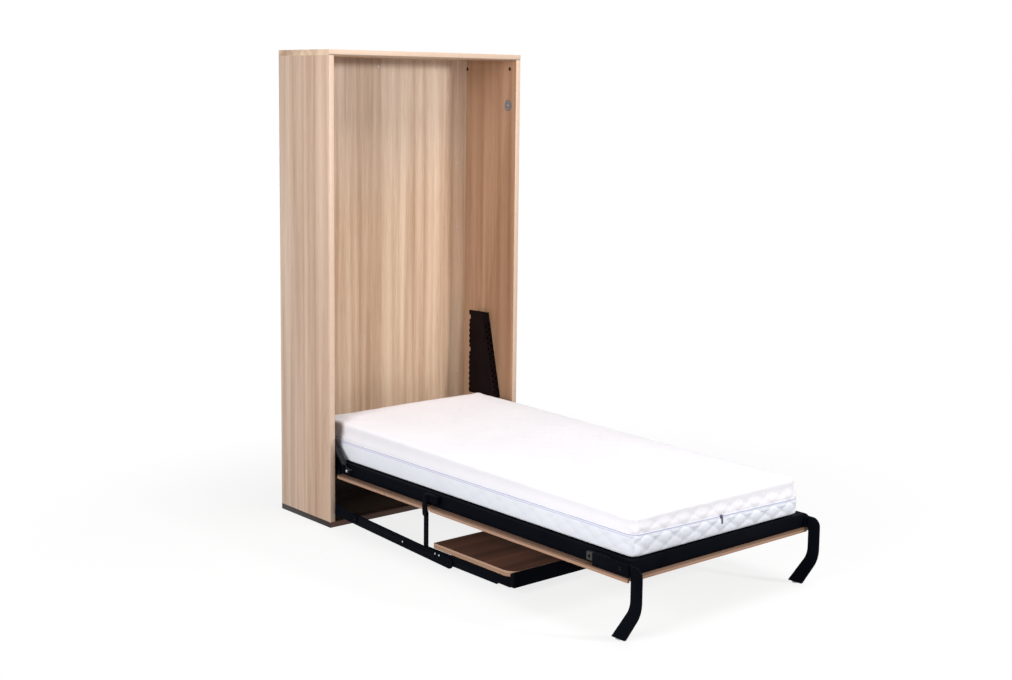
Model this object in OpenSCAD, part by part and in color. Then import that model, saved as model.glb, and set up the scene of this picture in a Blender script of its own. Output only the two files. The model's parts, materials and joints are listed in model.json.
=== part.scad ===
// Wall bed with a swinging desk, shown open with the bed down.
// Millimetres. +Z is up, the foot of the bed points to -Y, the wall is at +Y.
// Side pieces are drawn for the left side, measured from its outer face.

/* [Cabinet] */
// Outer width of the cabinet
cab_w = 1085; // [1060:5:1120]
// Depth from the front edge to the wall
cab_d = 400; // [390:5:440]
// Overall height
cab_h = 2105; // [2085:5:2140]
// Thickness of the cabinet boards
board_t = 25; // [24:1:28]
// Thickness of the back panel
back_t = 9; // [6:1:12]
// Thickness of the cleats behind the back panel
cleat_t = 18; // [16:1:22]
// Height of the top cleat
top_cleat_h = 100; // [90:5:140]
// Width of the side cleats
side_cleat_w = 80; // [70:5:120]
// Distance of the corner fittings from the end of the side panel
fitting_drop = 41; // [36:1:50]

/* [Bed] */
// Height of the underside of the face panel
face_z = 224; // [220:1:236]
// Thickness of the face panel
face_t = 16; // [14:1:18]
// Gap between the face panel and the cabinet sides
face_gap = 4; // [4:0.5:6]
// Gap under the top panel when the bed is closed
closed_gap = 4; // [3:0.5:8]
// Length of the head-end board of the face panel
head_board_l = 357; // [300:1:420]
// Height of the bed rails
rail_h = 55; // [52:1:60]
// Wall of the folded rails
rail_t = 3; // [2.5:0.5:3]
// Width of the rail flanges
rail_flange = 30; // [26:1:34]
// Space between the cabinet side and the rail
rail_space = 33.5; // [33.5:0.5:36]
// Number of slats
slat_n = 13; // [10:1:16]
// Width of a slat
slat_w = 68; // [60:1:80]
// Thickness of a slat
slat_t = 8; // [7:0.5:10]

/* [Mattress] */
// Height of the cabinet beyond the length of the mattress
mattress_spare = 105; // [105:5:155]
// Space between the mattress and the cabinet side
mattress_gap = 47.5; // [46:0.5:65]
// Height of the mattress at its edge
mattress_t = 150; // [120:5:155]
// Rise of the crown over the edge
crown = 14; // [6:1:18]
// Extra height of the top at the head end
head_rise = 22; // [0:1:24]
// Height of the zip seam above the mattress base
seam_h = 84; // [60:1:90]

/* [Legs] */
// Width of the flat bar of a leg
leg_w = 50; // [44:1:54]
// Thickness of the flat bar of a leg
leg_t = 10; // [8:1:10]
// Distance of the leg in front of the face panel
leg_reach = 54; // [50:1:58]
// Height of the bend in the leg
leg_bend_z = 126; // [110:1:150]
// Radius of the bend on the middle of the bar
leg_bend_r = 120; // [60:5:160]
// Angle of the lower part of the leg
leg_bend = 34; // [26:1:36]
// Outer radius of the top corner of the leg
leg_corner_r = 35; // [30:1:40]

/* [Desk] */
// Length of the swing arms between their pivots
arm_l = 662; // [640:1:670]
// Height of a swing arm
arm_w = 46; // [40:1:46]
// Thickness of a swing arm
arm_t = 6; // [5:0.5:6]
// Thickness of the desk top
desk_t = 22; // [18:1:25]
// Depth of the desk top
desk_d = 490; // [450:5:495]
// Radius of the front corners of the desk top
desk_corner_r = 50; // [15:5:80]

/* [Springs and latches] */
// Height of the tower top
tower_top = 858; // [800:1:900]
// Depth of the tower at its top
tower_d = 98; // [90:1:110]
// Slope of the tower front, horizontal per vertical
tower_slope = 0.2272; // [0.18:0.01:0.24]
// Outer radius of the lift spring
spring_r = 9; // [7:0.5:10]
// Radius of the latch pin
latch_r = 5; // [4:0.5:5.5]
// Travel of the latch pin
latch_travel = 12; // [10:0.5:12]

/* [Hidden] */
$fn = 48;

// Places that follow from the sizes above
in_x = board_t;
open_top = cab_h - board_t;
back_y = cab_d - cleat_t - back_t;
mattress_l = cab_h - mattress_spare;
mattress_w = cab_w - 2 * (board_t + mattress_gap);
rail_z = face_z + face_t;
rail_top = rail_z + rail_h;
rail_x = in_x + rail_space;
web_x = rail_x + rail_t;
flange_x = rail_x + rail_flange;
pivot_z = rail_z;
pivot_y = pivot_z - face_z;
face_foot_y = pivot_z + pivot_y - (open_top - closed_gap);
face_head_y = -12;
seam_gap = 2;
seam_y = face_head_y - head_board_l;
foot_inset = 12;
rail_foot_y = face_foot_y + foot_inset;
mattress_foot_y = rail_foot_y + 5;
mattress_head_y = mattress_foot_y + mattress_l;
rail_head_y = mattress_head_y + 28;
mattress_z = rail_top + 2;
leg_front_y = face_foot_y - leg_reach;
y_shift = -(leg_front_y + cab_d) / 2;
fit = 0.05;
loose = 0.3;

module placed() {
    translate([0, y_shift, 0]) children();
}
module left() {
    placed() translate([-cab_w / 2, 0, 0]) children();
}
module right() {
    placed() mirror([1, 0, 0]) translate([-cab_w / 2, 0, 0]) children();
}
module both() {
    left() children();
    right() children();
}
module middle() {
    placed() translate([-cab_w / 2, 0, 0]) children();
}
// A box from its low corner to its high corner
module block(low, high) {
    translate(low) cube(high - low);
}
// A round bar along X
module bar_x(x0, x1, y, z, r) {
    translate([x0, y, z]) rotate([0, 90, 0]) cylinder(h = x1 - x0, r = r);
}
// A round bar along Y
module bar_y(y0, y1, x, z, r) {
    translate([x, y1, z]) rotate([90, 0, 0]) cylinder(h = y1 - y0, r = r);
}
// A plate that stands in the YZ plane
module plate_x(x0, t) {
    translate([x0, 0, 0]) rotate([90, 0, 90]) linear_extrude(t) children();
}
// Points on an arc from one angle to another
function arc(x, y, r, a0, a1, n = 12) =
    [for (i = [0:n]) [x + r * cos(a0 + (a1 - a0) * i / n), y + r * sin(a0 + (a1 - a0) * i / n)]];

// Cabinet

cam_r = 9;
cam_depth = 17;
cam_inset = 48;
cam_ys = [cam_inset, cab_d - 33];
cam_bolt_r = 3.5;
cam_bolt_bite = 12;

module at_cams() {
    for (y = cam_ys) translate([0, y, 0]) children();
}
module side_panel() {
    difference() {
        block([0, 0, board_t], [board_t, cab_d, open_top]);
        at_cams() {
            bar_x(in_x - cam_depth, in_x + 1, 0, open_top - fitting_drop, cam_r);
            bar_x(in_x - cam_depth, in_x + 1, 0, board_t + fitting_drop, cam_r);
            translate([board_t / 2, 0, open_top - fitting_drop])
                cylinder(h = fitting_drop + 1, r = cam_bolt_r);
            translate([board_t / 2, 0, board_t - 1])
                cylinder(h = fitting_drop + 1, r = cam_bolt_r);
        }
        bar_x(latch_bed_x, in_x + 1, latch_y, latch_z, latch_r + latch_slack);
        at_latch_screws() bar_x(in_x - latch_bite, in_x + 1, 0, 0, 2);
        at_pivot_screws() bar_x(in_x - screw_bite, in_x + 1, 0, 0, 3);
        at_arm_plate_screws() bar_x(in_x - screw_bite, in_x + 1, 0, 0, 3);
        at_tower_screws() bar_x(in_x - screw_bite, in_x + 1, 0, 0, 3);
    }
}
module left_side_panel() {
    color("burlywood") left() side_panel();
}
module right_side_panel() {
    color("burlywood") right() side_panel();
}
module cap_board() {
    difference() {
        block([0, 0, 0], [cab_w, cab_d, board_t]);
        for (x = [board_t / 2, cab_w - board_t / 2])
            for (y = cam_ys)
                translate([x, y, -1]) cylinder(h = cam_bolt_bite + 1, r = cam_bolt_r);
    }
}
module top_panel() {
    color("tan") middle() translate([0, 0, open_top]) cap_board();
}
module bottom_panel() {
    color("tan") middle() translate([0, 0, board_t]) mirror([0, 0, 1]) cap_board();
}

screw_pitch = 341;
screw_first = 186;
screw_drop = 38;
screw_inset = 50;
screw_drops = [182, 499, 817, 1218, 1543];
screw_r = 2.5;
screw_head_r = 6;

module at_back_screws() {
    for (i = [0:2])
        translate([screw_first + i * screw_pitch, back_y, open_top - screw_drop])
            children();
    for (x = [in_x + screw_inset, cab_w - in_x - screw_inset])
        for (drop = screw_drops)
            translate([x, back_y, open_top - drop]) children();
}
module back_panel() {
    color("wheat") difference() {
        middle() block([in_x, back_y, board_t], [cab_w - in_x, back_y + back_t, open_top]);
        middle() at_back_screws() bar_y(-1, back_t + 1, 0, 0, screw_r);
    }
}
wall_hole_r = 4;
wall_hole_depth = 14;
wall_hole_x = 400;
wall_hole_z = 25;
module top_cleat() {
    color("peru") difference() {
        middle() block([in_x, cab_d - cleat_t, open_top - top_cleat_h],
            [cab_w - in_x, cab_d, open_top]);
        middle() at_back_screws() bar_y(0, back_t + 12, 0, 0, screw_r);
        for (x = [-wall_hole_x, wall_hole_x])
            for (z = [-wall_hole_z, wall_hole_z])
                placed() bar_y(cab_d - wall_hole_depth, cab_d + 1, x,
                    open_top - top_cleat_h / 2 + z, wall_hole_r);
    }
}
module side_cleats() {
    color("peru") difference() {
        both() block([in_x, cab_d - cleat_t, board_t],
            [in_x + side_cleat_w, cab_d, open_top - top_cleat_h]);
        middle() at_back_screws() bar_y(0, back_t + 12, 0, 0, screw_r);
    }
}
module back_panel_screws() {
    color("silver") middle() at_back_screws() {
        bar_y(0, back_t + 12, 0, 0, screw_r);
        bar_y(-2, 0, 0, 0, screw_head_r);
    }
}
module corner_cams() {
    color("black") both() at_cams() {
        bar_x(in_x - cam_depth, in_x, 0, open_top - fitting_drop, cam_r);
        bar_x(in_x - cam_depth, in_x, 0, board_t + fitting_drop, cam_r);
    }
}
module cam_bolt() {
    cylinder(h = fitting_drop - cam_r + cam_bolt_bite, r = cam_bolt_r);
}
module cam_bolts() {
    color("silver") both() at_cams() {
        translate([board_t / 2, 0, open_top - fitting_drop + cam_r]) cam_bolt();
        translate([board_t / 2, 0, board_t + fitting_drop - cam_r])
            mirror([0, 0, 1]) cam_bolt();
    }
}

// Bed pivots

pivot_r = 6;
pivot_plate_t = 3;
pivot_plate_d = 96;
pivot_plate_y = 4;
pivot_plate_low = 150;
pivot_plate_high = 430;
screw_bite = 14;
lug_t = 8;
lug_r = 16;
bush_r = 9;

module at_pivot_screws() {
    for (z = [pivot_plate_low + 20, pivot_plate_high - 20])
        for (y = [pivot_plate_y + 20, pivot_plate_y + pivot_plate_d - 20])
            translate([0, y, z]) children();
}
module pivot_plate() {
    difference() {
        block([in_x, pivot_plate_y, pivot_plate_low],
            [in_x + pivot_plate_t, pivot_plate_y + pivot_plate_d, pivot_plate_high]);
        bar_x(in_x - 1, in_x + pivot_plate_t + 1, pivot_y, pivot_z, pivot_r);
        at_pivot_screws() bar_x(in_x - 1, in_x + pivot_plate_t + 1, 0, 0, 3);
    }
}
module left_pivot_plate() {
    color("dimgray") left() pivot_plate();
}
module right_pivot_plate() {
    color("dimgray") right() pivot_plate();
}
module panel_screw(x) {
    bar_x(in_x - screw_bite, x, 0, 0, 3);
    bar_x(x, x + 1.5, 0, 0, 6);
}
module pivot_plate_screws() {
    color("silver") both() {
        at_pivot_screws() panel_screw(in_x + pivot_plate_t);
        at_arm_plate_screws() panel_screw(in_x + arm_plate_t);
    }
}
module pivot_pin() {
    bar_x(in_x, rail_x - 0.5, pivot_y, pivot_z, pivot_r);
    bar_x(in_x + pivot_plate_t, in_x + pivot_plate_t + 3, pivot_y, pivot_z, 12);
}
module left_pivot_pin() {
    color("silver") left() pivot_pin();
}
module right_pivot_pin() {
    color("silver") right() pivot_pin();
}
module lug_outline() {
    translate([pivot_y, pivot_z]) circle(lug_r);
    translate([pivot_y - lug_r, pivot_z]) square([2 * lug_r, rail_top - pivot_z]);
}
module pivot_lugs() {
    color("dimgray") both() difference() {
        plate_x(rail_x - lug_t, lug_t) lug_outline();
        bar_x(rail_x - lug_t - 1, rail_x + 1, pivot_y, pivot_z, bush_r);
    }
}
module pivot_bushes() {
    color("ivory") both() difference() {
        union() {
            bar_x(rail_x - lug_t, rail_x, pivot_y, pivot_z, bush_r);
            bar_x(rail_x - lug_t - 2, rail_x - lug_t, pivot_y, pivot_z, bush_r + 4);
        }
        bar_x(rail_x - lug_t - 3, rail_x + 1, pivot_y, pivot_z, pivot_r + fit);
    }
}

// Spring towers and lift springs

tower_in = in_x + 43;
tower_sheet = 3;
tower_rear_y = 283;
tower_low = 445;
notch_pitch = 27;
hole_pitch = 27;
deep_notches = [35, 197];
hole_r = 5.5;
hook_y = 240;
hook_z = 560;
anchor_r = 4;
anchor_y = -77;
anchor_z = rail_z + 30;
spring_x = in_x + 18;
front_y_top = tower_rear_y - tower_d;
front_len = (tower_top - tower_low) * sqrt(1 + tower_slope * tower_slope);
front_lean = atan(tower_slope);
front_y_low = front_y_top - (tower_top - tower_low) * tower_slope;

module at_tower_screws() {
    for (z = [tower_low + 55, tower_top - 75])
        for (y = [tower_rear_y - 72, tower_rear_y - 30])
            translate([0, y, z]) children();
}
module tower_web() {
    difference() {
        polygon([[front_y_low, tower_low], [tower_rear_y, tower_low],
            [tower_rear_y, tower_top - 4], [tower_rear_y - 4, tower_top],
            [front_y_top + 5, tower_top], [front_y_top, tower_top - 5]]);
        for (i = [1:floor((tower_top - tower_low) / notch_pitch)])
            translate([tower_rear_y + 4, tower_top - 8 - i * notch_pitch]) circle(9);
        for (drop = deep_notches)
            translate([tower_rear_y + 3, tower_top - drop]) circle(15);
    }
}
module spring_tower() {
    difference() {
        union() {
            plate_x(tower_in - tower_sheet, tower_sheet) tower_web();
            translate([0, front_y_top, tower_top]) rotate([-front_lean, 0, 0])
                difference() {
                    block([in_x, 0, -front_len], [tower_in - tower_sheet, tower_sheet, -5]);
                    for (i = [0:floor((front_len - 75) / hole_pitch)])
                        for (s = [0, 1])
                            translate([0, 0, -62 - (i + s / 2) * hole_pitch])
                                bar_y(-1, tower_sheet + 1, in_x + 11 + s * 18, 0, hole_r);
                }
            plate_x(in_x, tower_sheet)
                polygon([[front_y_low + 2, tower_low], [tower_rear_y - 12, tower_low],
                    [tower_rear_y - 12, tower_top - 8], [front_y_top + 3, tower_top - 8]]);
            block([in_x, tower_rear_y - 15, tower_low], [tower_in - tower_sheet,
                tower_rear_y - 12, tower_top - 8]);
        }
        bar_x(in_x - 1, tower_in + 1, hook_y, hook_z, 6);
        at_tower_screws() bar_x(in_x - 1, in_x + tower_sheet + 1, 0, 0, 3);
    }
}
module left_spring_tower() {
    color("#2b2523") left() spring_tower();
}
module right_spring_tower() {
    color("#2b2523") right() spring_tower();
}
module tower_screws() {
    color("silver") both() at_tower_screws() panel_screw(in_x + tower_sheet);
}
module spring_hook_bars() {
    color("gray") both() bar_x(in_x, tower_in, hook_y, hook_z, 6);
}
module spring_anchor_pins() {
    color("silver") both() {
        bar_x(in_x + 11, rail_x + rail_t, anchor_y, anchor_z, anchor_r);
        bar_x(in_x + 8, in_x + 11, anchor_y, anchor_z, anchor_r + 1.5);
        bar_x(web_x, web_x + 5, anchor_y, anchor_z, 8);
    }
}
module lift_spring() {
    span = norm([hook_y - anchor_y, hook_z - anchor_z]);
    lean = atan2(hook_z - anchor_z, hook_y - anchor_y);
    eye_r = 8;
    difference() {
        translate([spring_x, anchor_y, anchor_z]) rotate([lean, 0, 0]) {
            bar_y(20, span - 20, 0, 0, spring_r);
            for (y = [0, span]) translate([0, y, 0]) rotate([0, 90, 0])
                cylinder(h = 4, r = eye_r + 3, center = true);
            bar_y(eye_r, 20, 0, 0, 2);
            bar_y(span - 20, span - eye_r, 0, 0, 2);
        }
        bar_x(spring_x - 5, spring_x + 5, anchor_y, anchor_z, anchor_r + fit);
        bar_x(spring_x - 5, spring_x + 5, hook_y, hook_z, 6 + fit);
    }
}
module left_lift_spring() {
    color("slategray") left() lift_spring();
}
module right_lift_spring() {
    color("slategray") right() lift_spring();
}

// Latches

catch_inset = 197;
catch_bed_y = rail_foot_y + catch_inset;
catch_bed_z = rail_z + 29;
latch_y = pivot_y + catch_bed_z - pivot_z;
latch_z = pivot_z + pivot_y - catch_bed_y;
latch_bed_x = 8;
latch_slack = 0.3;
latch_bite = 10;
latch_plate_t = 3;
latch_plate_y = latch_y + 14;
catch_x = rail_x - 17.5;
latch_tip = catch_x + 5 - latch_travel;

module at_latch_screws() {
    for (z = [-17, 17]) translate([0, latch_plate_y, latch_z + z]) children();
}
module latch_plate() {
    difference() {
        plate_x(in_x, latch_plate_t) translate([latch_plate_y, latch_z])
            polygon([[-27, -9], [-9, -25], [9, -25], [19, -9], [19, 9], [9, 25],
                [-9, 25], [-27, 9]]);
        bar_x(in_x - 1, in_x + latch_plate_t + 1, latch_y, latch_z, latch_r + fit);
        at_latch_screws() bar_x(in_x - 1, in_x + latch_plate_t + 1, 0, 0, 2);
    }
}
module left_latch_plate() {
    color("gray") left() latch_plate();
}
module right_latch_plate() {
    color("gray") right() latch_plate();
}
module latch_pin() {
    bar_x(latch_bed_x + 1, latch_tip, latch_y, latch_z, latch_r);
}
module left_latch_pin() {
    color("silver") left() latch_pin();
}
module right_latch_pin() {
    color("silver") right() latch_pin();
}
module latch_screws() {
    color("silver") both() at_latch_screws() {
        bar_x(in_x - latch_bite, in_x + latch_plate_t, 0, 0, 2);
        bar_x(in_x + latch_plate_t, in_x + latch_plate_t + 1.5, 0, 0, 4);
    }
}
module latch_catches() {
    color("dimgray") both() difference() {
        block([catch_x, catch_bed_y - 15, catch_bed_z - 15],
            [rail_x, catch_bed_y + 15, catch_bed_z + 15]);
        bar_x(catch_x - 1, rail_x - 4, catch_bed_y, catch_bed_z, latch_r + 1);
    }
}

// Bed frame

module channel(length) {
    difference() {
        cube([rail_flange, length, rail_h]);
        translate([rail_t, -1, rail_t])
            cube([rail_flange, length + 2, rail_h - 2 * rail_t]);
    }
}
face_screw_n = 6;
face_screw_x = rail_x + 18;
module at_face_screws() {
    for (i = [0:face_screw_n - 1])
        translate([face_screw_x, rail_foot_y + 70 + i *
            (face_head_y - 60 - rail_foot_y - 70) / (face_screw_n - 1), 0]) children();
}
module side_rail() {
    difference() {
        translate([rail_x, rail_foot_y + rail_t, rail_z])
            channel(rail_head_y - rail_foot_y - 2 * rail_t);
        at_face_screws() translate([0, 0, rail_z - 1])
            cylinder(h = rail_t + 2, r = 2);
        bar_x(rail_x - 1, web_x + 1, anchor_y, anchor_z, anchor_r);
        bar_x(rail_x - 1, web_x + 1, leg_pivot_y, leg_pivot_z, leg_pivot_r);
    }
}
module left_side_rail() {
    color("#26262a") left() side_rail();
}
module right_side_rail() {
    color("#26262a") right() side_rail();
}
module end_rail() {
    difference() {
        union() {
            cube([cab_w - 2 * rail_x, rail_t, rail_h]);
            translate([rail_flange, 0, 0])
                cube([cab_w - 2 * flange_x, rail_flange, rail_h]);
        }
        translate([rail_flange - 1, rail_t, rail_t])
            cube([cab_w - 2 * flange_x + 2, rail_flange, rail_h - 2 * rail_t]);
    }
}
module foot_rail() {
    color("#2c2c30") middle() translate([rail_x, rail_foot_y, rail_z]) end_rail();
}
module head_rail() {
    color("#2c2c30") middle() translate([rail_x, rail_head_y, rail_z])
        mirror([0, 1, 0]) end_rail();
}
cross_w = 40;
cross_h = 30;
module cross_rail() {
    color("#2c2c30") middle() difference() {
        block([flange_x, seam_y - cross_w / 2, rail_z],
            [cab_w - flange_x, seam_y + cross_w / 2, rail_z + cross_h]);
        block([flange_x - 1, seam_y - cross_w / 2 + 2, rail_z + 2],
            [cab_w - flange_x + 1, seam_y + cross_w / 2 - 2, rail_z + cross_h - 2]);
    }
}
slat_end = 90;
slat_y0 = rail_foot_y + slat_end;
slat_y1 = rail_head_y - slat_end;
slat_low = mattress_z - slat_t;
module at_slats() {
    for (i = [0:slat_n - 1])
        translate([0, slat_y0 + i * (slat_y1 - slat_y0) / (slat_n - 1), 0]) children();
}
module slats() {
    color("navajowhite") middle() at_slats()
        block([flange_x + 2, -slat_w / 2, slat_low],
            [cab_w - flange_x - 2, slat_w / 2, mattress_z]);
}
module slat_holders() {
    color("#303030") both() at_slats() {
        block([web_x + 8, -slat_w / 2, slat_low - 9],
            [flange_x + 24, slat_w / 2, slat_low]);
        block([web_x + 8, -slat_w / 2, slat_low],
            [flange_x, slat_w / 2, rail_top - rail_t]);
    }
}

slot_x = in_x + 13;
slot_w = leg_t + 4;
slot_l = 69;
notch_w = 7;
module face_board(y0, y1) {
    difference() {
        block([in_x + face_gap, y0, face_z], [cab_w - in_x - face_gap, y1, rail_z]);
        for (s = [0, 1]) translate([s * cab_w, 0, 0]) mirror([s, 0, 0]) {
            block([slot_x, face_foot_y - 1, face_z - 1],
                [slot_x + slot_w, face_foot_y + slot_l, rail_z + 1]);
            block([in_x, stub_y - stub_w / 2 - 23, face_z - 1],
                [in_x + face_gap + notch_w, stub_y + stub_w / 2 + 2, rail_z + 1]);
            at_face_screws() translate([0, 0, rail_z - 10])
                cylinder(h = 11, r = 2);
        }
    }
}
module face_panel_foot() {
    color("sienna") middle() face_board(face_foot_y, seam_y - seam_gap / 2);
}
module face_panel_head() {
    color("sienna") middle() face_board(seam_y + seam_gap / 2, face_head_y);
}
module face_screws() {
    color("silver") both() at_face_screws() {
        translate([0, 0, rail_z - 10]) cylinder(h = 10 + rail_t, r = 2);
        translate([0, 0, rail_z + rail_t]) cylinder(h = 2, r = 4.5);
    }
}

// The mattress is lofted through rounded rectangles, each [inset, height]
corner_n = 8;
corner_r = 32;
mattress_rings = [[14, 0], [5, 4], [1, 14], [0, 34], [2, seam_h - 12],
    [7, seam_h - 2], [7, seam_h + 2], [1, seam_h + 10], [0, mattress_t - 26],
    [2, mattress_t - 12], [9, mattress_t - 3], [24, mattress_t + crown * 0.12],
    [70, mattress_t + crown * 0.42], [150, mattress_t + crown * 0.74],
    [280, mattress_t + crown * 0.95], [400, mattress_t + crown]];
function ring_point(d, z, q, k) =
    let (r = max(corner_r - d, 8), a = 90 * (q + k / corner_n),
        sx = (q == 0 || q == 3) ? 1 : -1, sy = (q < 2) ? 1 : -1,
        y = sy * (mattress_l / 2 - d - r) + r * sin(a))
    [sx * (mattress_w / 2 - d - r) + r * cos(a), y, z + lift(y, z)];
// The part of the head rise that a point at length y and height z gets
function lift(y, z) =
    head_rise * (y / mattress_l + 0.5) * max(0, z - seam_h) / (mattress_t - seam_h);
function ring(d, z) = [for (q = [0:3]) for (k = [0:corner_n]) ring_point(d, z, q, k)];
module mattress() {
    m = 4 * (corner_n + 1);
    n = len(mattress_rings);
    points = concat([for (g = mattress_rings) each ring(g[0], g[1])],
        [[0, 0, 0], [0, 0, mattress_t + crown + lift(0, mattress_t)]]);
    sides = [for (i = [0:n - 2]) for (j = [0:m - 1]) let (j2 = (j + 1) % m)
        each [[i * m + j, i * m + m + j, i * m + m + j2],
            [i * m + j, i * m + m + j2, i * m + j2]]];
    base = [for (j = [0:m - 1]) [n * m, j, (j + 1) % m]];
    top = [for (j = [0:m - 1]) [n * m + 1, (n - 1) * m + (j + 1) % m, (n - 1) * m + j]];
    color("white") placed()
        translate([0, (mattress_foot_y + mattress_head_y) / 2, mattress_z])
            polyhedron(points, concat(sides, base, top));
}

// Legs

leg_pivot_y = face_foot_y + 42;
leg_pivot_z = rail_z + 25;
leg_pivot_r = 5;
leg_hub_r = 19.5;
leg_x = in_x + 15;
glide_h = 3;
foot_flare = 3;
glide_r = 12;
leg_rear_y = leg_front_y + leg_w;
leg_mid_y = leg_front_y + leg_w / 2;
bend_y = leg_mid_y + leg_bend_r;
bend_z = leg_bend_z + leg_bend_r * tan(leg_bend / 2);
glide_y = leg_mid_y + (leg_bend_z - glide_h) * tan(leg_bend);
foot_half = leg_w / 2 / cos(leg_bend) + foot_flare;

module leg_outline() {
    top_z = leg_pivot_z + leg_hub_r;
    polygon(concat(
        arc(leg_pivot_y, leg_pivot_z, leg_hub_r, 90, -90),
        [[leg_rear_y, leg_pivot_z - leg_hub_r]],
        arc(bend_y, bend_z, leg_bend_r - leg_w / 2, 180, 180 + leg_bend),
        [[glide_y + foot_half, glide_h], [glide_y - foot_half, glide_h]],
        arc(bend_y, bend_z, leg_bend_r + leg_w / 2, 180 + leg_bend, 180),
        arc(leg_front_y + leg_corner_r, top_z - leg_corner_r, leg_corner_r, 180, 90)));
}
module leg() {
    difference() {
        plate_x(leg_x, leg_t) leg_outline();
        bar_x(leg_x - 1, leg_x + leg_t + 1, leg_pivot_y, leg_pivot_z, leg_pivot_r + fit);
        translate([leg_x + leg_t / 2, glide_y, 0]) cylinder(h = glide_h + 16, r = 3);
    }
}
module left_leg() {
    color("#222226") left() leg();
}
module right_leg() {
    color("#222226") right() leg();
}
module leg_glide() {
    translate([leg_x + leg_t / 2, glide_y, 0]) {
        cylinder(h = glide_h, r = glide_r);
        cylinder(h = glide_h + 16, r = 3);
    }
}
module left_leg_glide() {
    color("white") left() leg_glide();
}
module right_leg_glide() {
    color("white") right() leg_glide();
}
ear_t = 4;
ear_r = 24;
ear_back = 144;
ear_gap = 2;
ear_front_y = face_foot_y + 1;
module ear_outline() {
    polygon(concat(
        [[leg_pivot_y + ear_back, leg_pivot_z + ear_r]],
        arc(ear_front_y + ear_r, leg_pivot_z, ear_r, 90, 180),
        [[ear_front_y, leg_pivot_z - ear_r], [leg_pivot_y + ear_back, leg_pivot_z - ear_r]]));
}
module leg_bracket() {
    difference() {
        union() {
            plate_x(leg_x - ear_gap - ear_t, ear_t) ear_outline();
            plate_x(rail_x - ear_t, ear_t) ear_outline();
            block([leg_x - ear_gap, leg_pivot_y + 60, leg_pivot_z - 4],
                [rail_x - ear_t, leg_pivot_y + ear_back, leg_pivot_z + ear_r]);
        }
        bar_x(leg_x - 10, rail_x + 1, leg_pivot_y, leg_pivot_z, leg_pivot_r);
    }
}
module left_leg_bracket() {
    color("#2a2a2e") left() leg_bracket();
}
module right_leg_bracket() {
    color("#2a2a2e") right() leg_bracket();
}
module leg_pivot_bolts() {
    x0 = leg_x - ear_gap - ear_t;
    color("silver") both() {
        bar_x(x0, web_x, leg_pivot_y, leg_pivot_z, leg_pivot_r);
        bar_x(x0 - 3, x0, leg_pivot_y, leg_pivot_z, 9);
        bar_x(web_x, web_x + 6, leg_pivot_y, leg_pivot_z, 8);
    }
}

// Desk and its swing arms

arm_x = in_x + 3.4;
desk_side_x = in_x + 11;
desk_side_t = 6;
arm_plate_t = 3;
arm_pivot_y = -147;
arm_pivot_z = 69;
arm_pin_r = 5;
arm_drop = 30;
arm_run = sqrt(arm_l * arm_l - arm_drop * arm_drop);
desk_pin_y = arm_pivot_y - arm_run;
desk_pin_z = arm_pivot_z - arm_drop;
link_y = pivot_y - arm_run;
link_z = pivot_z - arm_drop;
stub_y = link_y;
stub_w = 26;
stub_t = 6;
stub_x = in_x + 3;
post_r = 12.5;
desk_side_low = 28;
desk_toe_low = 35;
desk_z = 70;
desk_rear_y = link_y - 45;
desk_x = desk_side_x + desk_side_t + 2;
tube_rear_y = desk_rear_y - desk_d;
tube_d = 25;
tube_low = 37;
tube_high = desk_z + desk_t;
arm_plate_z = 92;
rivet_steps = [66, 92, 315];
stub_foot = 75;
desk_screw_pitch = 150;

module at_arm_plate_screws() {
    for (y = [18, 46]) translate([0, y, arm_plate_z]) children();
}
module arm_plate() {
    difference() {
        plate_x(in_x, arm_plate_t)
            polygon(concat(arc(arm_pivot_y, arm_pivot_z, 21, 90, 270),
                [[20, 58], [60, 58], [60, 112], [0, 112]]));
        bar_x(in_x - 1, in_x + arm_plate_t + 1, arm_pivot_y, arm_pivot_z, arm_pin_r);
        at_arm_plate_screws() bar_x(in_x - 1, in_x + arm_plate_t + 1, 0, 0, 3);
    }
}
module left_arm_plate() {
    color("dimgray") left() arm_plate();
}
module right_arm_plate() {
    color("dimgray") right() arm_plate();
}
module arm_pivot_bolts() {
    color("silver") both() {
        bar_x(in_x, arm_x + arm_t + 0.4, arm_pivot_y, arm_pivot_z, arm_pin_r);
        bar_x(arm_x + arm_t + 0.4, arm_x + arm_t + 3.4, arm_pivot_y, arm_pivot_z, 9);
    }
}
// A bar with round ends from the cabinet pivot to the desk pivot
module arm_outline() {
    r = arm_w / 2;
    translate([arm_pivot_y, arm_pivot_z]) rotate(asin(arm_drop / arm_l))
        polygon(concat(arc(0, 0, r, -90, 90), arc(-arm_l, 0, r, 90, 270)));
}
module desk_arm(gap) {
    difference() {
        union() {
            plate_x(arm_x, arm_t) arm_outline();
            for (y = rivet_steps)
                bar_x(arm_x - 2, arm_x, desk_pin_y + y, desk_pin_z + y * arm_drop / arm_run, 5);
        }
        bar_x(arm_x - 1, arm_x + arm_t + 1, arm_pivot_y, arm_pivot_z, arm_pin_r + fit);
        bar_x(arm_x - 1, arm_x + arm_t + 1, desk_pin_y, desk_pin_z, arm_pin_r + gap);
    }
}
module left_desk_arm() {
    color("#1d1d20") left() desk_arm(fit);
}
module right_desk_arm() {
    color("#1d1d20") right() desk_arm(loose);
}
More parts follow.
